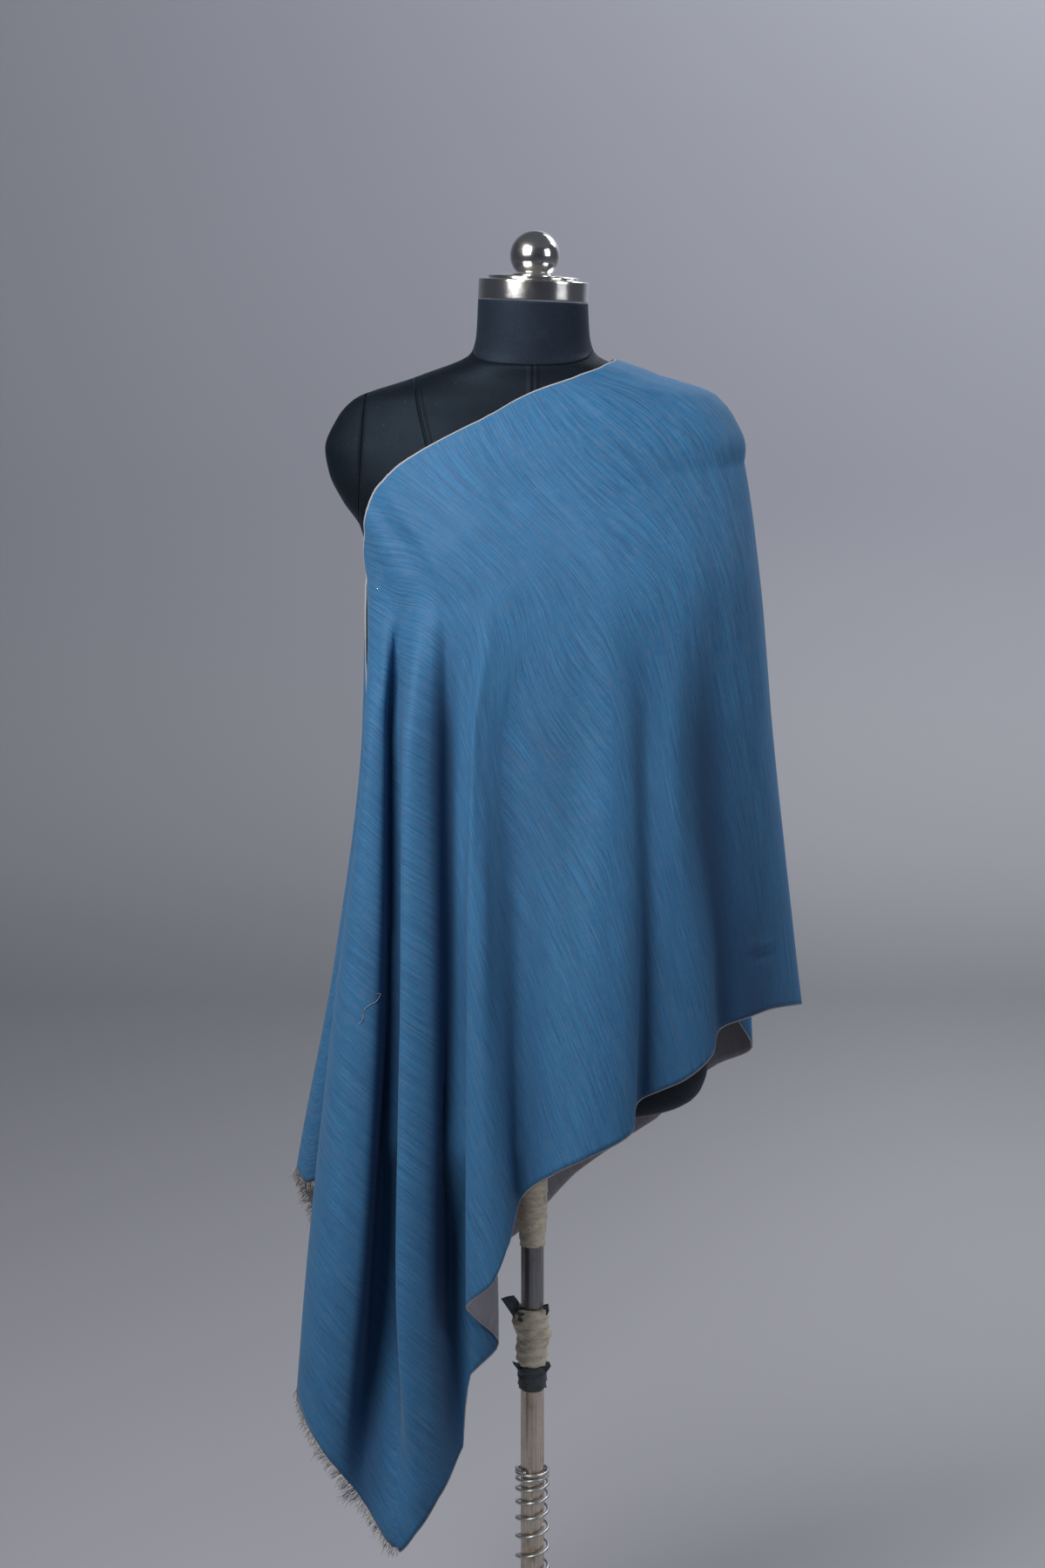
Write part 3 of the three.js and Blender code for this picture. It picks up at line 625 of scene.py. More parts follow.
def blue_face():
    """The face of the stole: blue warp crossed by a finer grey weft, with painted shade in the valleys
    between folds.
    """
    finish = Finish(
        "blue_wool_face", Roughness=0.72, Sheen_Weight=0.16, Sheen_Roughness=0.5,
        Sheen_Tint=(0.55, 0.75, 1.0, 1.0), Specular_IOR_Level=0.5)
    weft, warp, broad, slub, mottle = weave(finish)
    colour = finish.blend(weft.eased(0.30, 0.70), DEEP_BLUE, PALE_BLUE)
    colour = finish.blend(0.50, colour, BLUE)
    colour = finish.coated(
        colour, (warp, 0.46, 0.66, 0.22, DEEP_BLUE), (slub, 0.46, 0.66, 0.30, WEFT_GREY),
        (broad, 0.50, 0.70, 0.16, WEFT_GREY), (broad, 0.50, 0.32, 0.25, DEEP_BLUE),
        (mottle, 0.50, 0.70, 0.16, WEFT_GREY))
    # Painted shade: the valleys between folds are darkened towards FOLD_SHADE.
    colour = finish.blend(painted_fold_shade(finish) * 0.80, colour, FOLD_SHADE)
    colour = finish.blend(edge_share(finish), colour, SELVEDGE)
    threads = weft * 0.5 + warp * 0.5 + slub * 0.3
    finish.vary(
        Base_Color=colour, Roughness=0.66 + weft * 0.16,
        Normal=finish.relief(threads, 0.3, 0.0005))
    return finish.material


def grey_reverse():
    """The reverse, where the grey weft lies over the blue."""
    finish = Finish(
        "grey_wool_reverse", Roughness=0.85, Sheen_Weight=0.25, Sheen_Roughness=0.5,
        Specular_IOR_Level=0.2)
    weft, warp, broad, slub, mottle = weave(finish)
    colour = finish.blend(weft.eased(0.3, 0.7), (0.20, 0.195, 0.235), (0.33, 0.315, 0.345))
    colour = finish.coated(
        colour, (slub, 0.5, 0.7, 0.4, (0.11, 0.15, 0.25)), (broad, 0.4, 0.7, 0.25, (0.38, 0.34, 0.34)))
    colour = finish.blend(edge_share(finish), colour, SELVEDGE)
    finish.vary(
        Base_Color=colour, Roughness=0.78 + warp * 0.14,
        Normal=finish.relief(weft * 0.6 + warp * 0.4 + mottle * 0.2, 0.35, 0.0005))
    return finish.material


def fringe_thread(name, dark, pale):
    """Frayed warp threads, some undyed and some blue-grey."""
    finish = Finish(name, Roughness=0.85, Sheen_Weight=0.3, Specular_IOR_Level=0.2)
    place = finish.place()
    tone = finish.noise(place, 260.0, 2.0, 0.6)
    fibre = finish.noise(place, 2600.0, 1.0, 0.5)
    colour = finish.blend(tone.eased(0.32, 0.68), dark, pale)
    finish.vary(
        Base_Color=colour, Roughness=0.75 + fibre * 0.2, Normal=finish.relief(fibre, 0.4, 0.0003))
    return finish.material


def form_cloth(name, colour, pale, sheen):
    """The form's stretched jersey cover, with its sewn seams."""
    finish = Finish(
        name, Roughness=0.62, Sheen_Weight=sheen, Sheen_Roughness=0.35,
        Sheen_Tint=(0.40, 0.58, 0.90, 1.0), Specular_IOR_Level=0.25,
        Specular_Tint=(0.55, 0.75, 1.0, 1.0))
    place = finish.place()
    rows = finish.streaks(place, (900.0, 900.0, 1500.0), 2.0, 0.6)
    wear = finish.noise(place, 22.0, 4.0, 0.6)
    lint = finish.noise(place, 420.0, 2.0, 0.5)
    seam = abs(finish.split(finish.run())[0])
    groove = 1 - seam.eased(0.0004, 0.0013)
    beside = seam.eased(0.0009, 0.0022) - seam.eased(0.003, 0.0075)
    base = finish.blend(rows.eased(0.3, 0.7), colour, pale)
    worn = tuple(2.2 * c for c in pale)
    base = finish.coated(base, (wear, 0.52, 0.8, 0.25, worn), (lint, 0.70, 0.78, 0.22, (0.20, 0.21, 0.24)))
    base = finish.blend(groove * 0.8, base, (0.002, 0.002, 0.003))
    binding = 1 - finish.split(place)[2].eased(0.7572, 0.7582)
    base = finish.blend(binding * 0.7, base, (0.20, 0.14, 0.09))
    height = rows * 0.18 + beside * 1.2 - groove * 2.0
    finish.vary(
        Base_Color=base, Roughness=0.52 + wear * 0.22, Normal=finish.relief(height, 0.6, 0.0008))
    return finish.material


def chrome():
    """Old polished plating with faint scratches, pits, and dull spots that are warmer in colour."""
    finish = Finish("polished_plating", Metallic=1.0, Roughness=0.06)
    place = finish.place()
    dull = finish.noise(place, 38.0, 4.0, 0.65)
    scratch = finish.streaks(place, (90.0, 90.0, 2600.0), 2.0, 0.6)
    pits = finish.noise(place, 900.0, 1.0, 0.5)
    colour = finish.blend(dull.eased(0.45, 0.75), (0.86, 0.85, 0.83), (0.72, 0.69, 0.62))
    colour = finish.blend(pits.eased(0.72, 0.80) * 0.5, colour, (0.30, 0.27, 0.22))
    rough = 0.12 + dull.eased(0.4, 0.8) * 0.12 + scratch * 0.04
    finish.vary(Base_Color=colour, Roughness=rough, Normal=finish.relief(scratch, 0.05, 0.0002))
    return finish.material


RUST = (0.10, 0.065, 0.04)


def tube_metal(name, clean, stained, rough, stain_from):
    """Plated tube with lengthwise streaks, stains and small rust specks."""
    finish = Finish(name, Metallic=0.9, Roughness=rough)
    place = finish.place()
    streak = finish.streaks(place, (520.0, 520.0, 14.0), 3.0, 0.6)
    stain = finish.streaks(place, (60.0, 60.0, 26.0), 4.0, 0.65)
    speck = finish.noise(place, 640.0, 2.0, 0.5)
    colour = finish.blend(streak.eased(0.35, 0.7), clean, tuple(0.72 * c for c in clean))
    colour = finish.coated(
        colour, (stain, stain_from, stain_from + 0.2, 0.7, stained), (speck, 0.66, 0.74, 0.6, RUST))
    metal = 0.92 - stain.eased(stain_from + 0.05, stain_from + 0.3) * 0.4
    finish.vary(
        Base_Color=colour, Roughness=rough + stain * 0.25, Metallic=metal,
        Normal=finish.relief(streak + speck, 0.12, 0.0003))
    return finish.material


def tape(name, pale, shade, dirt, rough):
    """Crinkled tape, with painted shade in the low parts of its crinkles and random grime."""
    finish = Finish(name, Roughness=rough, Specular_IOR_Level=0.4)
    place = finish.place()
    crinkle = finish.streaks(place, (70.0, 70.0, 190.0), 4.0, 0.6)
    grime = finish.noise(place, 70.0, 5.0, 0.7)
    # Painted shade: the low parts of the crinkles take the darker shade colour.
    colour = finish.blend(crinkle.eased(0.35, 0.65), shade, pale)
    colour = finish.blend(grime.eased(0.54, 0.72) * 0.55, colour, dirt)
    finish.vary(
        Base_Color=colour, Roughness=rough - 0.08 + grime * 0.2,
        Normal=finish.relief(crinkle + grime * 0.4, 0.5, 0.0014))
    return finish.material


def base_paint():
    """Black satin paint with scuffs and dust."""
    finish = Finish("black_satin_paint", Roughness=0.42)
    place = finish.place()
    peel = finish.noise(place, 900.0, 2.0, 0.5)
    scuff = finish.streaks(place, (30.0, 90.0, 60.0), 5.0, 0.7)
    colour = finish.blend(scuff.eased(0.55, 0.75) * 0.6, (0.022, 0.022, 0.025), (0.09, 0.09, 0.095))
    finish.vary(
        Base_Color=colour, Roughness=0.34 + scuff * 0.3, Normal=finish.relief(peel, 0.12, 0.0003))
    return finish.material


def wall_paint():
    """The lavender-grey floor and wall, with painted light: lighter towards the floor, and lighter still
    low down on the right.
    """
    finish = Finish("floor_paint_with_painted_light", Roughness=0.9, Specular_IOR_Level=0.1)
    place = finish.place()
    right, _, height = finish.split(place)
    cloud = finish.noise(place, 0.6, 2.0, 0.5)
    colour = finish.blend(cloud, (0.335, 0.345, 0.385), (0.355, 0.365, 0.405))
    # Painted light: lighter towards the bottom of the room.
    low = 1 - height.eased(-0.1, 1.1)
    colour = finish.blend(low * 0.8, colour, (0.455, 0.455, 0.485))
    # Painted light: a lighter patch low down on the right.
    colour = finish.blend(right.eased(-0.1, 0.9) * low * 0.5, colour, (0.60, 0.60, 0.63))
    finish.vary(Base_Color=colour)
    return finish.material


FACE = blue_face()
REVERSE = grey_reverse()
UNDYED = fringe_thread("undyed_fringe_thread", (0.20, 0.18, 0.165), (0.50, 0.46, 0.42))
BLUE_THREAD = fringe_thread("blue_fringe_thread", (0.035, 0.075, 0.13), (0.12, 0.18, 0.25))
COVER = form_cloth("black_form_cover", (0.0024, 0.0038, 0.0062), (0.0046, 0.0072, 0.0112), 0.07)
NECK_COVER = form_cloth("near_black_neck_cover", (0.0080, 0.0115, 0.0190), (0.016, 0.023, 0.037), 0.20)
CHROME = chrome()
DARK_TUBE = tube_metal("dark_plated_tube", (0.30, 0.30, 0.31), (0.14, 0.12, 0.10), 0.18, 0.55)
NICKEL = tube_metal("dull_nickel_tube", (0.66, 0.58, 0.49), (0.34, 0.24, 0.16), 0.18, 0.48)
SPRING_WIRE = tube_metal("bright_spring_wire", (0.66, 0.68, 0.67), (0.24, 0.21, 0.18), 0.22, 0.62)
CREAM_TAPE = tape("cream_tape", (0.80, 0.73, 0.58), (0.62, 0.55, 0.42), (0.26, 0.19, 0.12), 0.62)
GREY_TAPE = tape("grey_tape", (0.085, 0.105, 0.12), (0.045, 0.055, 0.065), (0.03, 0.03, 0.03), 0.45)
PAINT = base_paint()


# The stole

COLUMNS = 346
COURSES = 134
MIDDLE_COURSE = 70
EDGE_ABOVE_FRINGE = 5.0
# These set the painted shade that darkens the valleys between folds.
FOLD_REACH = 70  # how far along the cloth a crest darkens a valley with painted shade
FOLD_COLUMNS = 15  # how many columns each way a crest is looked for
FOLD_SLOPE = 0.25  # how much a crest counts for less with each millimetre along the cloth
FOLD_SHALLOW, FOLD_DEEP = 3, 26
FOLD_TOP = 1300  # above this the cloth lies on the form, has no folds and gets no painted shade
FOLD_FADE = 140
YARN = {"reach": (8.5, 13), "long": (13, 19), "long_share": 0.04, "droop": (0, 0, -2.2)}
YARN_RADIUS = (0.24, 0.44)
YARN_SPACING = (0.4, 0.95)
YARN_TAPER = (1, 0.95, 0.8, 0.35)
BLUE_SHARE = 0.14
FRINGE_CLUMP = -189  # where a few longer blue threads hang together
CLUMP_WIDTH, CLUMP_LENGTH = 4, 9
PIN = (-158, 1305)
PIN_HEAD_RADIUS = 1.3
LOOSE_THREAD = [(-160, 898), (-158, 893), (-162, 888), (-168, 886), (-171, 880), (-172, 872), (-176, 866)]


def run_along(points):
    """How far along a line of points each one lies."""
    return np.concatenate([[0], np.cumsum(np.linalg.norm(np.diff(points, axis=0), axis=1))])


places = places_across(COLUMNS)
fringed = (places <= CORNER) | (places >= BACK_CORNER)
start_corner = int(np.searchsorted(places, CORNER))
end_corner = int(np.searchsorted(places, BACK_CORNER))
course_shares = 1 - (1 - np.linspace(0, 1, COURSES)) ** 1.25
smooth_middle = []
for place, ends_in_fringe in zip(places, fringed):
    low = bottom_at(place) + (EDGE_ABOVE_FRINGE if ends_in_fringe else 0)
    smooth_middle.append(cloth_points(place, low + (top_at(place) - low) * course_shares))
smooth_middle = np.array(smooth_middle)


def edge_runs(grid):
    """How far along the cut each point lies, in metres: along the length, then across it."""
    top_run = run_along(grid[:, -1])
    low_run = run_along(grid[:, 0])
    corner, back_corner = low_run[start_corner], low_run[end_corner]
    along_hem = np.clip((low_run - corner) / (back_corner - corner), 0, 1)
    across_start = np.clip(low_run / corner, 0, 1)
    across_end = np.clip((low_run[-1] - low_run) / (low_run[-1] - back_corner), 0, 1)
    across = np.minimum(across_start, across_end) * CUT_WIDTH
    up = np.linalg.norm(np.diff(grid, axis=1), axis=2)
    risen = np.concatenate([np.zeros((len(grid), 1)), np.cumsum(up, axis=1)], axis=1)
    share = 1 - risen / np.maximum(risen[:, -1:], 1e-6)
    top_length = top_run / top_run[-1] * CUT_LENGTH
    hem_length = along_hem * CUT_LENGTH
    u = top_length[:, None] * (1 - share) + hem_length[:, None] * share
    return np.stack([u, across[:, None] * share], axis=-1) * MM


def crumpled(grid):
    """The cloth's middle with its creases and slight waves, still clear of the form."""
    normals = grid_normals(grid)
    run = run_along(grid[:, MIDDLE_COURSE])
    out = crease_heights(grid, normals) + soft_waves(grid, run[:, None])
    moved = grid + normals * out[..., None]
    return pushed_clear(moved.reshape(-1, 3), CREASED_CLEAR).reshape(grid.shape)


def valley_depths(grid):
    """How deep each point lies between the folds beside it, from 0 to 1, which sets its painted shade."""
    far_out = np.hypot(grid[..., 0], grid[..., 1])
    step = np.linalg.norm(np.diff(grid, axis=0), axis=2)
    run = np.concatenate([np.zeros((1, grid.shape[1])), np.cumsum(step, axis=0)])
    crest = far_out.copy()
    for shift in range(1, FOLD_COLUMNS + 1):
        for sign in (1, -1):
            beside = np.roll(far_out, sign * shift, axis=0)
            apart = np.abs(np.roll(run, sign * shift, axis=0) - run)
            crest = np.maximum(crest, np.where(apart < FOLD_REACH, beside - FOLD_SLOPE * apart, 0))
    depth = np.clip((crest - far_out - FOLD_SHALLOW) / (FOLD_DEEP - FOLD_SHALLOW), 0, 1)
    for _ in range(3):
        depth = (np.roll(depth, 1, axis=0) + 2 * depth + np.roll(depth, -1, axis=0)) / 4
    depth *= np.clip((FOLD_TOP - grid[..., 2]) / FOLD_FADE, 0, 1)
    return np.stack([depth, depth], axis=-1).reshape(-1, 2)


def make_stole():
    """Both sides of the cloth as one closed thin shell."""
    middle = crumpled(smooth_middle)
    normals = grid_normals(middle)
    columns, courses = middle.shape[:2]
    points = np.concatenate([
        (middle + side * normals * WALL / 2).reshape(-1, 3) for side in (1, -1)])
    front = grid_faces(columns, courses)
    back = grid_faces(columns, courses, start=columns * courses, turned=True)
    edges = shell_edges(columns, courses)
    runs = edge_runs(smooth_middle).reshape(-1, 2)
    # How much painted shade each point gets, from its depth between the folds.
    fold_shade_depths = valley_depths(smooth_middle)
    cloth = new_piece(
        "stole_cloth", points, front + back + edges, [FACE, REVERSE],
        [0] * len(front) + [1] * len(back) + [0] * len(edges),
        np.concatenate([runs, runs]), np.concatenate([fold_shade_depths, fold_shade_depths]))
    stands_for(cloth, "stole", "stole_front", "stole_arm_side", "stole_back")
    return middle, normals, cloth


middle, cloth_normals, stole = make_stole()


def fringe_thread_path(start, side, outward, down, clump):
    """One thread that leaves the edge, sways, and curls a little towards its end."""
    sway = draw.gauss(0, 0.28)
    lift = draw.gauss(0, 0.16)
    usual = draw.random() > YARN["long_share"]
    reach = draw.uniform(*YARN["reach" if usual else "long"]) + CLUMP_LENGTH * clump
    heading = down + side * sway + outward * lift
    start = start - down * 1.5 + outward * draw.uniform(-0.4, 0.4)
    curl = side * draw.gauss(0, 1.6) + outward * draw.gauss(0, 1.2) + YARN["droop"]
    return [start + heading * reach * s + curl * s * s for s in (0, 0.35, 0.7, 1)]


def fringe_piece(name, node, first, last):
    """The frayed end: fine threads that leave the cloth's edge and hang a little."""
    edge = middle[first:last + 1, 0]
    out = cloth_normals[first:last + 1, 0]
    run = run_along(edge)
    step = np.diff(run)
    tubes, slots = [], []
    at = YARN_SPACING[0]
    while at < run[-1]:
        i = min(int(np.searchsorted(run, at, side="right")) - 1, len(step) - 1)
        t = (at - run[i]) / step[i]
        side = (edge[i + 1] - edge[i]) / step[i]
        outward = out[i] * (1 - t) + out[i + 1] * t
        down = np.cross(side, outward)
        down /= np.linalg.norm(down)
        clump = math.exp(-((edge[i][0] - FRINGE_CLUMP) / CLUMP_WIDTH) ** 2)
        path = fringe_thread_path(edge[i] + (edge[i + 1] - edge[i]) * t, side, outward, down, clump)
        tubes.append(tube_mesh(path, draw.uniform(*YARN_RADIUS), 3, YARN_TAPER))
        slots.append(1 if draw.random() < BLUE_SHARE + 0.8 * clump else 0)
        at += draw.uniform(*YARN_SPACING)
    return stands_for(joined_tubes(name, tubes, [UNDYED, BLUE_THREAD], slots), "fringe", node)


def on_cloth(x, z, lift):
    """The point of the cloth's front face nearest to an x and a height, lifted off it."""
    hidden = np.where(cloth_normals[..., 1] < -0.1, 0, 500)
    apart = (middle[..., 0] - x) ** 2 + (middle[..., 2] - z) ** 2 + hidden
    i, j = np.unravel_index(np.argmin(apart), apart.shape)
    return middle[i, j] + cloth_normals[i, j] * (WALL / 2 + lift)


def make_pin():
    """The small pin that holds the layers together at the far side, with a round head."""
    head = on_cloth(*PIN, 0.6)
    turn = np.linspace(-math.pi / 2, math.pi / 2, 9)
    path = [head + (0, -PIN_HEAD_RADIUS * math.sin(a), 0) for a in turn]
    ball = tube_mesh(path, PIN_HEAD_RADIUS, 12, np.maximum(np.cos(turn), 0.05))
    shaft = tube_mesh([head, head + (2.5, -0.3, -4), head + (4.5, 0.4, -8)], 0.35, 6)
    stands_for(joined_tubes("holding_pin", [ball, shaft], [CHROME]), "polished_metal")


def make_loose_thread():
    """One loose end of undyed yarn that lies on the lower folds."""
    path = [on_cloth(x, z, 0.5 + 0.5 * (i % 2)) for i, (x, z) in enumerate(LOOSE_THREAD)]
    smooth = [make_curve(range(len(path)), [p[k] for p in path]) for k in range(3)]
    steps = np.linspace(0, len(path) - 1, 40)
    line = np.stack([curve(steps) for curve in smooth], axis=1)
    stands_for(joined_tubes("loose_thread", [tube_mesh(line, 0.28, 5)], [UNDYED]), "fringe")


front_fringe = fringe_piece("front_frayed_end", "fringe_front", 0, start_corner)
back_fringe = fringe_piece("back_frayed_end", "fringe_back", end_corner, len(places) - 1)
make_pin()
make_loose_thread()


# The form

TORSO_SIDES, TORSO_COURSES = 216, 190
NECK_SIDES, NECK_COURSES = 144, 30
CAP_ROWS, CAP_STEPS = 46, 40
CAP_EDGE = 0.6  # how far the plates stay inside the armhole's ends
NO_SEAM = 90  # a distance at which a seam has no effect on the cover

princess_x = make_curve(
    [756, 930, 1140, 1352, 1440, 1500, 1530], [88, 84, 60, 84, 104, 118, 122])


def armhole_x(z):
    """How far out the plane of the armhole is at a height."""
    return ARMHOLE["x"] - math.tan(ARMHOLE["lean"]) * (z - ARMHOLE["from"])


def seam_distance(points):
    """How far each point of the cover is from the nearest seam, with a sign that turns there."""
    x, y, z = points.T
    far = np.abs(x)
    seams = np.stack([far, princess_x(z) - far, np.where(far > 100, -np.abs(y), 999)])
    nearest = np.take_along_axis(seams, np.argmin(np.abs(seams), axis=0)[None], axis=0)[0]
    return nearest * np.sign(x) * np.where(y < 0, 1, -1)


def neck_seam_height(around, gap):
    """The height of the neck's seam at each angle round the form."""
    z = np.full(around.shape, float(NECK_SEAM_HEIGHT))
    for _ in range(12):
        z = NECK_SEAM_HEIGHT + gap + NECK_SEAM_SLOPE * form_points(around, z)[:, 1]
    return z


def held_in_armholes(points):
    """The torso's points with its sides cut off flat where the arm plates are."""
    beyond = (points[:, 2] > ARMHOLE["low"]) & (points[:, 2] < ARMHOLE["high"])
    most = armhole_x(points[:, 2]) - SEAM_GAP
    points[:, 0] = np.where(beyond, np.clip(points[:, 0], -most, most), points[:, 0])
    return points


def form_shell(name, around, low, high, courses, material, torso):
    """A closed piece of the form between two heights at each angle; the torso has seams."""
    z = low[:, None] + (high - low)[:, None] * np.linspace(0, 1, courses)[None]
    points = form_points(np.repeat(around, courses), z.ravel())
    if torso:
        points = held_in_armholes(points)
    distance = seam_distance(points) if torso else np.full(len(points), NO_SEAM)
    runs = np.stack([distance, points[:, 2]], axis=1) * MM
    count = len(around)
    centre = np.array([[0, 0, low.mean()], [0, 0, high.mean()]])
    faces = grid_faces(count, courses, closed=True)
    below, above = count * courses, count * courses + 1
    for i in range(count):
        k = (i + 1) % count
        faces.append((below, k * courses, i * courses))
        faces.append((above, i * courses + courses - 1, k * courses + courses - 1))
    runs = np.concatenate([runs, [[NO_SEAM * MM, 0], [NO_SEAM * MM, 0]]])
    return new_piece(name, np.concatenate([points, centre]), faces, [material], runs=runs)


def make_torso():
    around = np.arange(TORSO_SIDES) * 360 / TORSO_SIDES
    low = np.full(TORSO_SIDES, float(FORM_BOTTOM))
    high = neck_seam_height(around, -SEAM_GAP)
    torso = form_shell("form_cover", around, low, high, TORSO_COURSES, COVER, True)
    stands_for(torso, "form_cover", "form_torso")


def make_neck():
    around = np.arange(NECK_SIDES) * 360 / NECK_SIDES
    low = neck_seam_height(around, 0)
    x = form_points(around, np.full(NECK_SIDES, 1595.0))[:, 0]
    high = RING["bottom"] - SEAM_GAP - x * math.tan(RING_TILT)
    neck = form_shell("neck_cover", around, low, high, NECK_COURSES, NECK_COVER, False)
    stands_for(neck, "neck_cover", "form_neck")


def cap_points(side):
    """The dome of an armhole's plate, row by row from its low end."""
    rows = []
    for z in np.linspace(ARMHOLE["low"] + CAP_EDGE, ARMHOLE["high"] - CAP_EDGE, CAP_ROWS):
        start = math.degrees(math.asin(min(armhole_x(z) / float(half_at(z)), 0.9999)))
        rows.append(form_points(np.linspace(start, 180 - start, CAP_STEPS), np.full(CAP_STEPS, z)))
    return np.array(rows).reshape(-1, 3) * (side, 1, 1)


def make_arm_cap(name, node, side):
    """The covered plate that closes an armhole: a flat inner face and a domed outer one."""
    flat = cap_points(side)
    faces = grid_faces(CAP_ROWS, CAP_STEPS, turned=side > 0)
    for r in range(CAP_ROWS - 1):
        a, b = r * CAP_STEPS, (r + 1) * CAP_STEPS
        back = (a, b, b + CAP_STEPS - 1, a + CAP_STEPS - 1)
        faces.append(back[::-1] if side > 0 else back)
    for r in (0, CAP_ROWS - 1):
        end = tuple(range(r * CAP_STEPS, (r + 1) * CAP_STEPS))
        faces.append(end if (r == 0) == (side > 0) else end[::-1])
    runs = np.stack([np.full(len(flat), float(NO_SEAM)), flat[:, 2]], axis=1) * MM
    stands_for(new_piece(name, flat, faces, [COVER], runs=runs), "form_cover", node)


make_torso()
make_neck()
make_arm_cap("right_arm_cap", "arm_plate_right", -1)
make_arm_cap("left_arm_cap", "arm_plate_left", 1)


# Ring, disc and ball

DISC_EDGE = {"out": 1.6, "up": 1.8}
DISC_SHARES = (0.97, 0.94, 0.9, 0.85, 0.7, 0.55, 0.4, 0.2)


def leaned(points):
    """The lean of the ring, with the disc and the ball that stand on it."""
    up = points[:, 2] - RING["bottom"]
    x = points[:, 0] * math.cos(RING_TILT) + up * math.sin(RING_TILT)
    z = up * math.cos(RING_TILT) - points[:, 0] * math.sin(RING_TILT)
    return np.stack([x, points[:, 1], z + RING["bottom"]], axis=1)


def arc(centre, out, up, start, stop, steps=6):
    """Points of an outline round part of an ellipse, from one angle to another."""
    turns = [start + (stop - start) * i / steps for i in range(steps + 1)]
    return [(centre[0] + out * math.cos(t), centre[1] + up * math.sin(t)) for t in turns]


def rounded_band(radius, bottom, top, soft):
    """The outline of a short round bar with rounded edges."""
    inner = radius - soft
    side = [(radius, bottom + soft + (top - bottom - 2 * soft) * share) for share in (0.08, 0.5, 0.92)]
    return [
        (0.5, bottom), (radius - soft * 2, bottom),
        *arc((inner, bottom + soft), soft, soft, -math.pi / 2, 0), *side,
        *arc((inner, top - soft), soft, soft, 0, math.pi / 2),
        (radius - soft * 2, top), (0.5, top)]


def disc_outline():
    """The outline of the domed disc, rounded at its rim."""
    out, up = DISC_EDGE["out"], DISC_EDGE["up"]
    inner = DISC["radius"] - out
    outline = [(0.5, DISC["bottom"]), (inner, DISC["bottom"])]
    outline += arc((inner, DISC["bottom"] + up), out, up, -math.pi / 2, math.pi / 2)
    for share in DISC_SHARES:
        height = DISC["rim"] + (DISC["crown"] - DISC["rim"]) * math.cos(share * math.pi / 2) ** 0.6
        outline.append((DISC["radius"] * share * 0.97, height))
    return outline + [(0.5, DISC["crown"])]


def ball_outline():
    """The outline of the ball, flat where it stands on the disc."""
    low = math.asin((BALL["seat"] - BALL["z"]) / BALL["radius"])
    side = arc((0, BALL["z"]), BALL["radius"], BALL["radius"], low, math.pi / 2, 64)[:-1]
    return [(0.5, BALL["seat"]), *side, (0.3, BALL["z"] + BALL["radius"])]


def make_finial():
    band = rounded_band(RING["radius"], RING["bottom"], RING["top"], 1.1)
    for name, node, outline, sides in (
            ("neck_band", "neck_ring", band, 160),
            ("domed_disc", "neck_disc", disc_outline(), 128),
            ("ball_finial", "ball_knob", ball_outline(), 112)):
        stands_for(turned_piece(name, outline, sides, CHROME, leaned), "polished_metal", node)


make_finial()


# Pole, wraps, spring and base

WRAP_ROWS, WRAP_SIDES = 90, 96
SCRAP_STEPS = 9

# The foot of the stand: the distance from the axis and the height at each point of an outline
SOCKET_OUTLINE = [
    (0.5, 14.4), (30, 14.4), (29.6, 16.5), (28, 18.4), (25.5, 20), (24.3, 23), (24, 27), (24, 60),
    (24, 106), (23.7, 110), (22.6, 111.6), (21, 112), (0.5, 112)]
BASE_OUTLINE = [
    (0.5, 0), (190, 0), (197, 0), (199.2, 1), (200, 3), (200, 9), (199.6, 11), (198.4, 12.8),
    (196.5, 13.8), (194, 14), (150, 14), (60, 14), (0.5, 14)]

# Torn scraps of tape: the x and z of the left and the right edge, the place in depth, the curl
SCRAPS = [
    ("torn_flap", [(-34, 536), (-26, 524), (-19, 512)], [(-20, 540), (-14, 532), (-13, 512)], -8, 1.6),
    ("upper_right_fray", [(10, 528), (13, 522), (11, 517)], [(17, 531), (18, 523), (15, 517)], -9, 1.0),
    ("upper_fray", [(-17, 524), (-15, 519), (-16, 514)], [(-3, 521), (-5, 517), (-4, 512)], -16.5, 0.9),
    ("left_corner", [(-22, 466), (-20, 462), (-17, 458)], [(-14, 463), (-13, 460), (-13, 456)], -9, 0.9),
    ("right_corner", [(12, 464), (12, 460), (12, 455)], [(18, 466), (20, 461), (16, 455)], -9, 0.9),
]


def bar_outline(radius, bottom, top, chamfer=1.0):
    """The outline of a bar or tube with its two ends chamfered."""
    inner, edge = radius - chamfer, radius - chamfer * 0.3
    return [
        (0.4, bottom), (inner, bottom), (edge, bottom + chamfer * 0.3),
        (radius, bottom + chamfer), (radius, bottom + chamfer * 3), (radius, (bottom + top) / 2),
        (radius, top - chamfer * 3), (radius, top - chamfer), (edge, top - chamfer * 0.3),
        (inner, top), (0.4, top)]


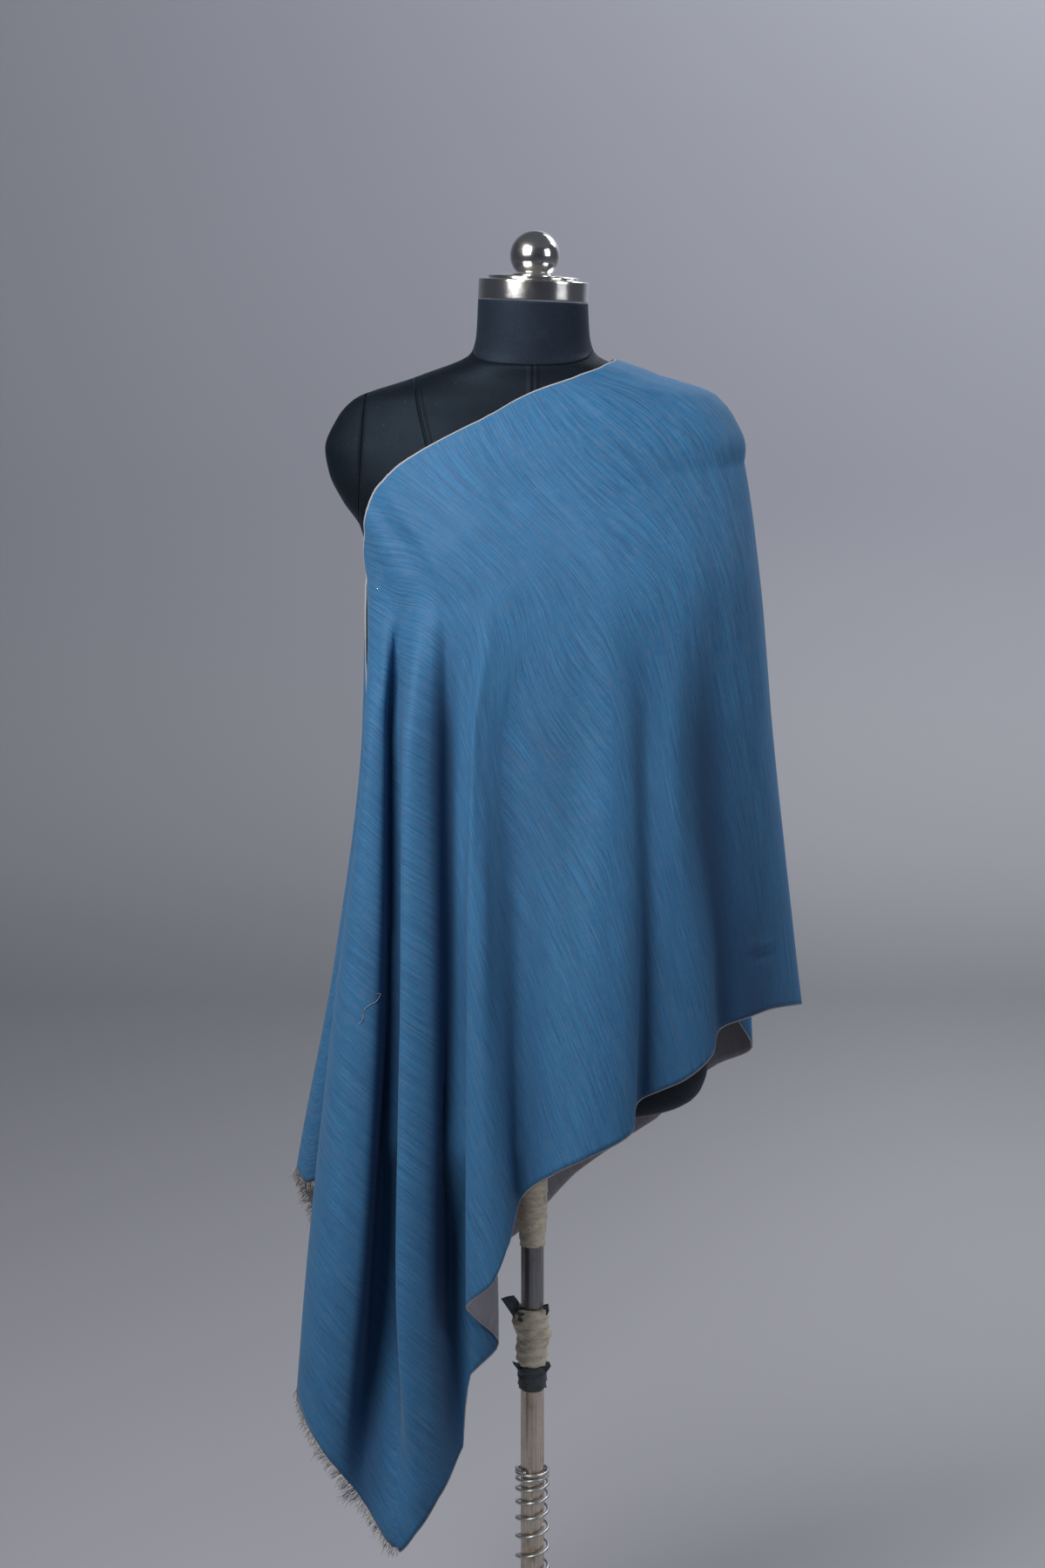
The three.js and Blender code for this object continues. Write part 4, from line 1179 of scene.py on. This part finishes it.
def wrap_surface(bottom, top, radius_at, turns, lip, seed, shift):
    """The outside of a wrap of tape, whose radius steps with each turn and crumples."""
    wrinkle = random.Random(seed)
    phases = [wrinkle.uniform(0, 6.28) for _ in range(7)]
    around = 2 * np.pi * np.arange(WRAP_SIDES) / WRAP_SIDES
    z, turn = np.meshgrid(np.linspace(bottom, top, WRAP_ROWS), around)
    share = (z - bottom) / (top - bottom)
    winding = share * turns + turn / (2 * np.pi)
    step = winding - np.floor(winding)
    crumple = (
        0.35 * np.sin(3 * turn + z * 0.35 + phases[0]) * np.sin(z * 0.22 + phases[1])
        + 0.30 * np.sin(5 * turn - z * 0.5 + phases[2])
        + 0.22 * np.sin(9 * turn + z * 0.9 + phases[3])
        + 0.16 * np.sin(2 * turn + z * 1.7 + phases[4]))
    radius = radius_at(share) + lip * (1 - step) ** 2 + lip * 0.45 * crumple
    fray = lip * 0.8 * np.sin(7 * turn + phases[5]) + lip * 0.6 * np.sin(3 * turn + phases[6])
    ends = np.clip((share - 0.85) / 0.15, 0, 1) - np.clip((0.15 - share) / 0.15, 0, 1)
    height = np.clip(z + ends * fray, bottom, top)
    return np.stack([radius * np.cos(turn) + shift(share), radius * np.sin(turn), height], axis=-1)


def wrapped(name, slot, material, surface, *nodes):
    """A wrap of tape from its outside, closed by a ring against the tube at each end."""
    around = 2 * np.pi * np.arange(WRAP_SIDES) / WRAP_SIDES
    x = (POLE_RADIUS - 0.5) * np.cos(around)
    y = (POLE_RADIUS - 0.5) * np.sin(around)
    low, high = (np.stack([x, y, surface[:, j, 2]], axis=-1)[:, None] for j in (0, -1))
    points = np.concatenate([low, surface, high], axis=1).reshape(-1, 3)
    wrap = new_piece(name, points, closed_faces(WRAP_SIDES, WRAP_ROWS + 2), [material])
    stands_for(wrap, slot, *nodes)


def torn_scrap(name, left, right, depth, curl):
    """A torn scrap of tape that stands off the pole: a small crumpled sheet between two edges."""
    share = np.linspace(0, 1, SCRAP_STEPS)
    knots = np.linspace(0, 1, len(left))
    start, stop = (
        np.stack([np.interp(share, knots, column) for column in zip(*edge)], axis=1)
        for edge in (left, right))
    s, t = np.meshgrid(share, share, indexing="ij")
    flat = start[:, None] + (stop - start)[:, None] * t[..., None]
    y = depth + curl * (np.sin(3 * t + 2 * s) + 0.4 * np.sin(9 * s + 5 * t))
    front = np.stack([flat[..., 0], y, flat[..., 1]], axis=-1).reshape(-1, 3)
    faces = grid_faces(SCRAP_STEPS, SCRAP_STEPS)
    faces += grid_faces(SCRAP_STEPS, SCRAP_STEPS, start=len(front), turned=True)
    faces += shell_edges(SCRAP_STEPS, SCRAP_STEPS)
    scrap = new_piece(name, np.concatenate([front, front + (0, 0.5, 0)]), faces, [GREY_TAPE])
    stands_for(scrap, "grey_tape")


def make_tubes():
    upper = bar_outline(POLE_RADIUS - SEAM_GAP, 524.4, FORM_BOTTOM - SEAM_GAP)
    lower = bar_outline(POLE_RADIUS, 112.4, 434)
    stands_for(turned_piece("upper_tube", upper, 64, DARK_TUBE), "dark_tube", "pole")
    stands_for(turned_piece("plated_lower_tube", lower, 64, NICKEL), "nickel_tube", "lower_tube")


def make_wraps():
    """The wraps of tape: the one under the cloth, and the two round the tubes' joint."""
    straight = make_curve([0, 1], [0, 0])
    skewed = make_curve([0, 0.3, 0.52, 0.74, 1], [0, -0.8, 1.9, -2.2, -0.6])
    bulge = make_curve([0, 0.12, 0.35, 0.6, 0.85, 1], [15.0, 16.2, 16.6, 18.6, 18.9, 17.0])
    flared = wrap_surface(
        594, 668, lambda s: 13.2 + 1.6 * np.clip(s * 3, 0, 1) ** 2 + 1.3 * s, 5, 0.9, 11, straight)
    wrapped("upper_cream_wrap", "cream_tape", CREAM_TAPE, flared)
    joint = wrap_surface(460.4, 524, bulge, 6, 1.5, 5, skewed)
    wrapped("joint_cream_wrap", "cream_tape", CREAM_TAPE, joint, "pole_sleeve")
    collar = wrap_surface(434.4, 460, lambda s: 14.6 + 1.4 * s, 3, 1.0, 7, straight)
    wrapped("joint_grey_wrap", "grey_tape", GREY_TAPE, collar, "pole_band")


def make_spring():
    """The spring round the lower tube, whose top coils lie closer."""
    turns = (SPRING["top"] - SPRING["bottom"]) / SPRING["pitch"]
    steps = int(turns * 40)
    share = np.arange(steps + 1) / steps
    angle = 2 * np.pi * turns * share
    climb = make_curve([0, 1 - SPRING["close"] / turns, 1], [0, 0.975, 1.0])
    rise = SPRING["bottom"] + (SPRING["top"] - SPRING["bottom"]) * climb(share)
    path = np.stack([SPRING["radius"] * np.cos(angle), SPRING["radius"] * np.sin(angle), rise], axis=1)
    spring = joined_tubes("return_spring", [tube_mesh(path, SPRING["wire"], 10)], [SPRING_WIRE])
    stands_for(spring, "spring_wire", "spring")


def make_foot():
    stands_for(turned_piece("pole_socket", SOCKET_OUTLINE, 96, PAINT), "base_paint", "base_socket")
    stands_for(turned_piece("round_base", BASE_OUTLINE, 160, PAINT), "base_paint", "base")


make_tubes()
make_wraps()
make_spring()
make_foot()
for scrap in SCRAPS:
    torn_scrap(*scrap)


# Floor, light and camera

ROOM = {"rim": 7200, "sweep": 2500, "height": 6500, "flat": 1500, "floor": -0.5, "sides": 128}
WORLD_COLOUR = (0.80, 0.86, 1.0, 1.0)
WORLD_STRENGTH = 0.10

# Soft lights: the place and the target in metres, the width and height, the power, the colour
LIGHTS = [
    ("left_softbox", (-1.05, -1.3, 2.3), (0, 0, 1.5), (1.0, 1.1), 46, (1.0, 0.98, 0.96)),
    ("right_softbox", (1.8, -1.0, 2.05), (0, 0, 1.45), (0.8, 0.9), 12, (0.95, 0.97, 1.0)),
    ("floor_fill", (1.5, 1.4, 2.9), (0.6, 2.2, 0), (1.4, 1.2), 38, (0.97, 0.98, 1.0)),
    ("wall_wash", (2.3, 3.5, 4.9), (2.2, 7.2, 5.1), (2.0, 1.4), 290, (0.96, 0.97, 1.0)),
]
CAMERA = {"place": (-0.0107, -3.134, 1.600), "down": 9.15, "lens": 69.54, "sensor": 36, "far": 60}


def linked(name, data):
    """An object of the scene that holds some mesh, lamp or lens."""
    made = bpy.data.objects.new(name, data)
    bpy.context.scene.collection.objects.link(made)
    return made


def make_floor():
    """A round floor that sweeps up into a plain wall on every side."""
    foot = ROOM["rim"] - ROOM["sweep"]
    bend = arc((foot, ROOM["sweep"] + ROOM["floor"]), ROOM["sweep"], ROOM["sweep"], -math.pi / 2, 0, 12)
    outline = [(1, ROOM["floor"]), (ROOM["flat"], ROOM["floor"]), *bend, (ROOM["rim"], ROOM["height"])]
    mesh = bpy.data.meshes.new("floor")
    points = lathe_points(outline, ROOM["sides"]) * MM
    mesh.from_pydata(points.tolist(), [], grid_faces(ROOM["sides"], len(outline), closed=True))
    mesh.polygons.foreach_set("use_smooth", [True] * len(mesh.polygons))
    mesh.materials.append(wall_paint())
    linked("floor", mesh)


def make_studio():
    world = bpy.data.worlds.new("studio")
    world.use_nodes = True
    world.node_tree.nodes["Background"].inputs["Color"].default_value = WORLD_COLOUR
    world.node_tree.nodes["Background"].inputs["Strength"].default_value = WORLD_STRENGTH
    bpy.context.scene.world = world
    for name, place, target, size, power, colour in LIGHTS:
        lamp = bpy.data.lights.new(name, "AREA")
        lamp.shape = "RECTANGLE"
        lamp.size, lamp.size_y = size
        lamp.energy = power
        lamp.color = colour
        light = linked(name, lamp)
        light.location = place
        light.rotation_euler = (Vector(target) - Vector(place)).to_track_quat("-Z", "Y").to_euler()


def make_camera():
    """The photo's own viewpoint: a long lens a little above the shoulders, tilted down."""
    lens = bpy.data.cameras.new("camera")
    lens.sensor_fit = "AUTO"
    lens.sensor_width = CAMERA["sensor"]
    lens.lens = CAMERA["lens"]
    lens.clip_end = CAMERA["far"]
    camera = linked("camera", lens)
    camera.location = CAMERA["place"]
    camera.rotation_euler = Euler((math.radians(90 - CAMERA["down"]), 0, 0))
    bpy.context.scene.camera = camera


make_floor()
make_studio()
make_camera()
bpy.context.scene.view_settings.view_transform = "Standard"
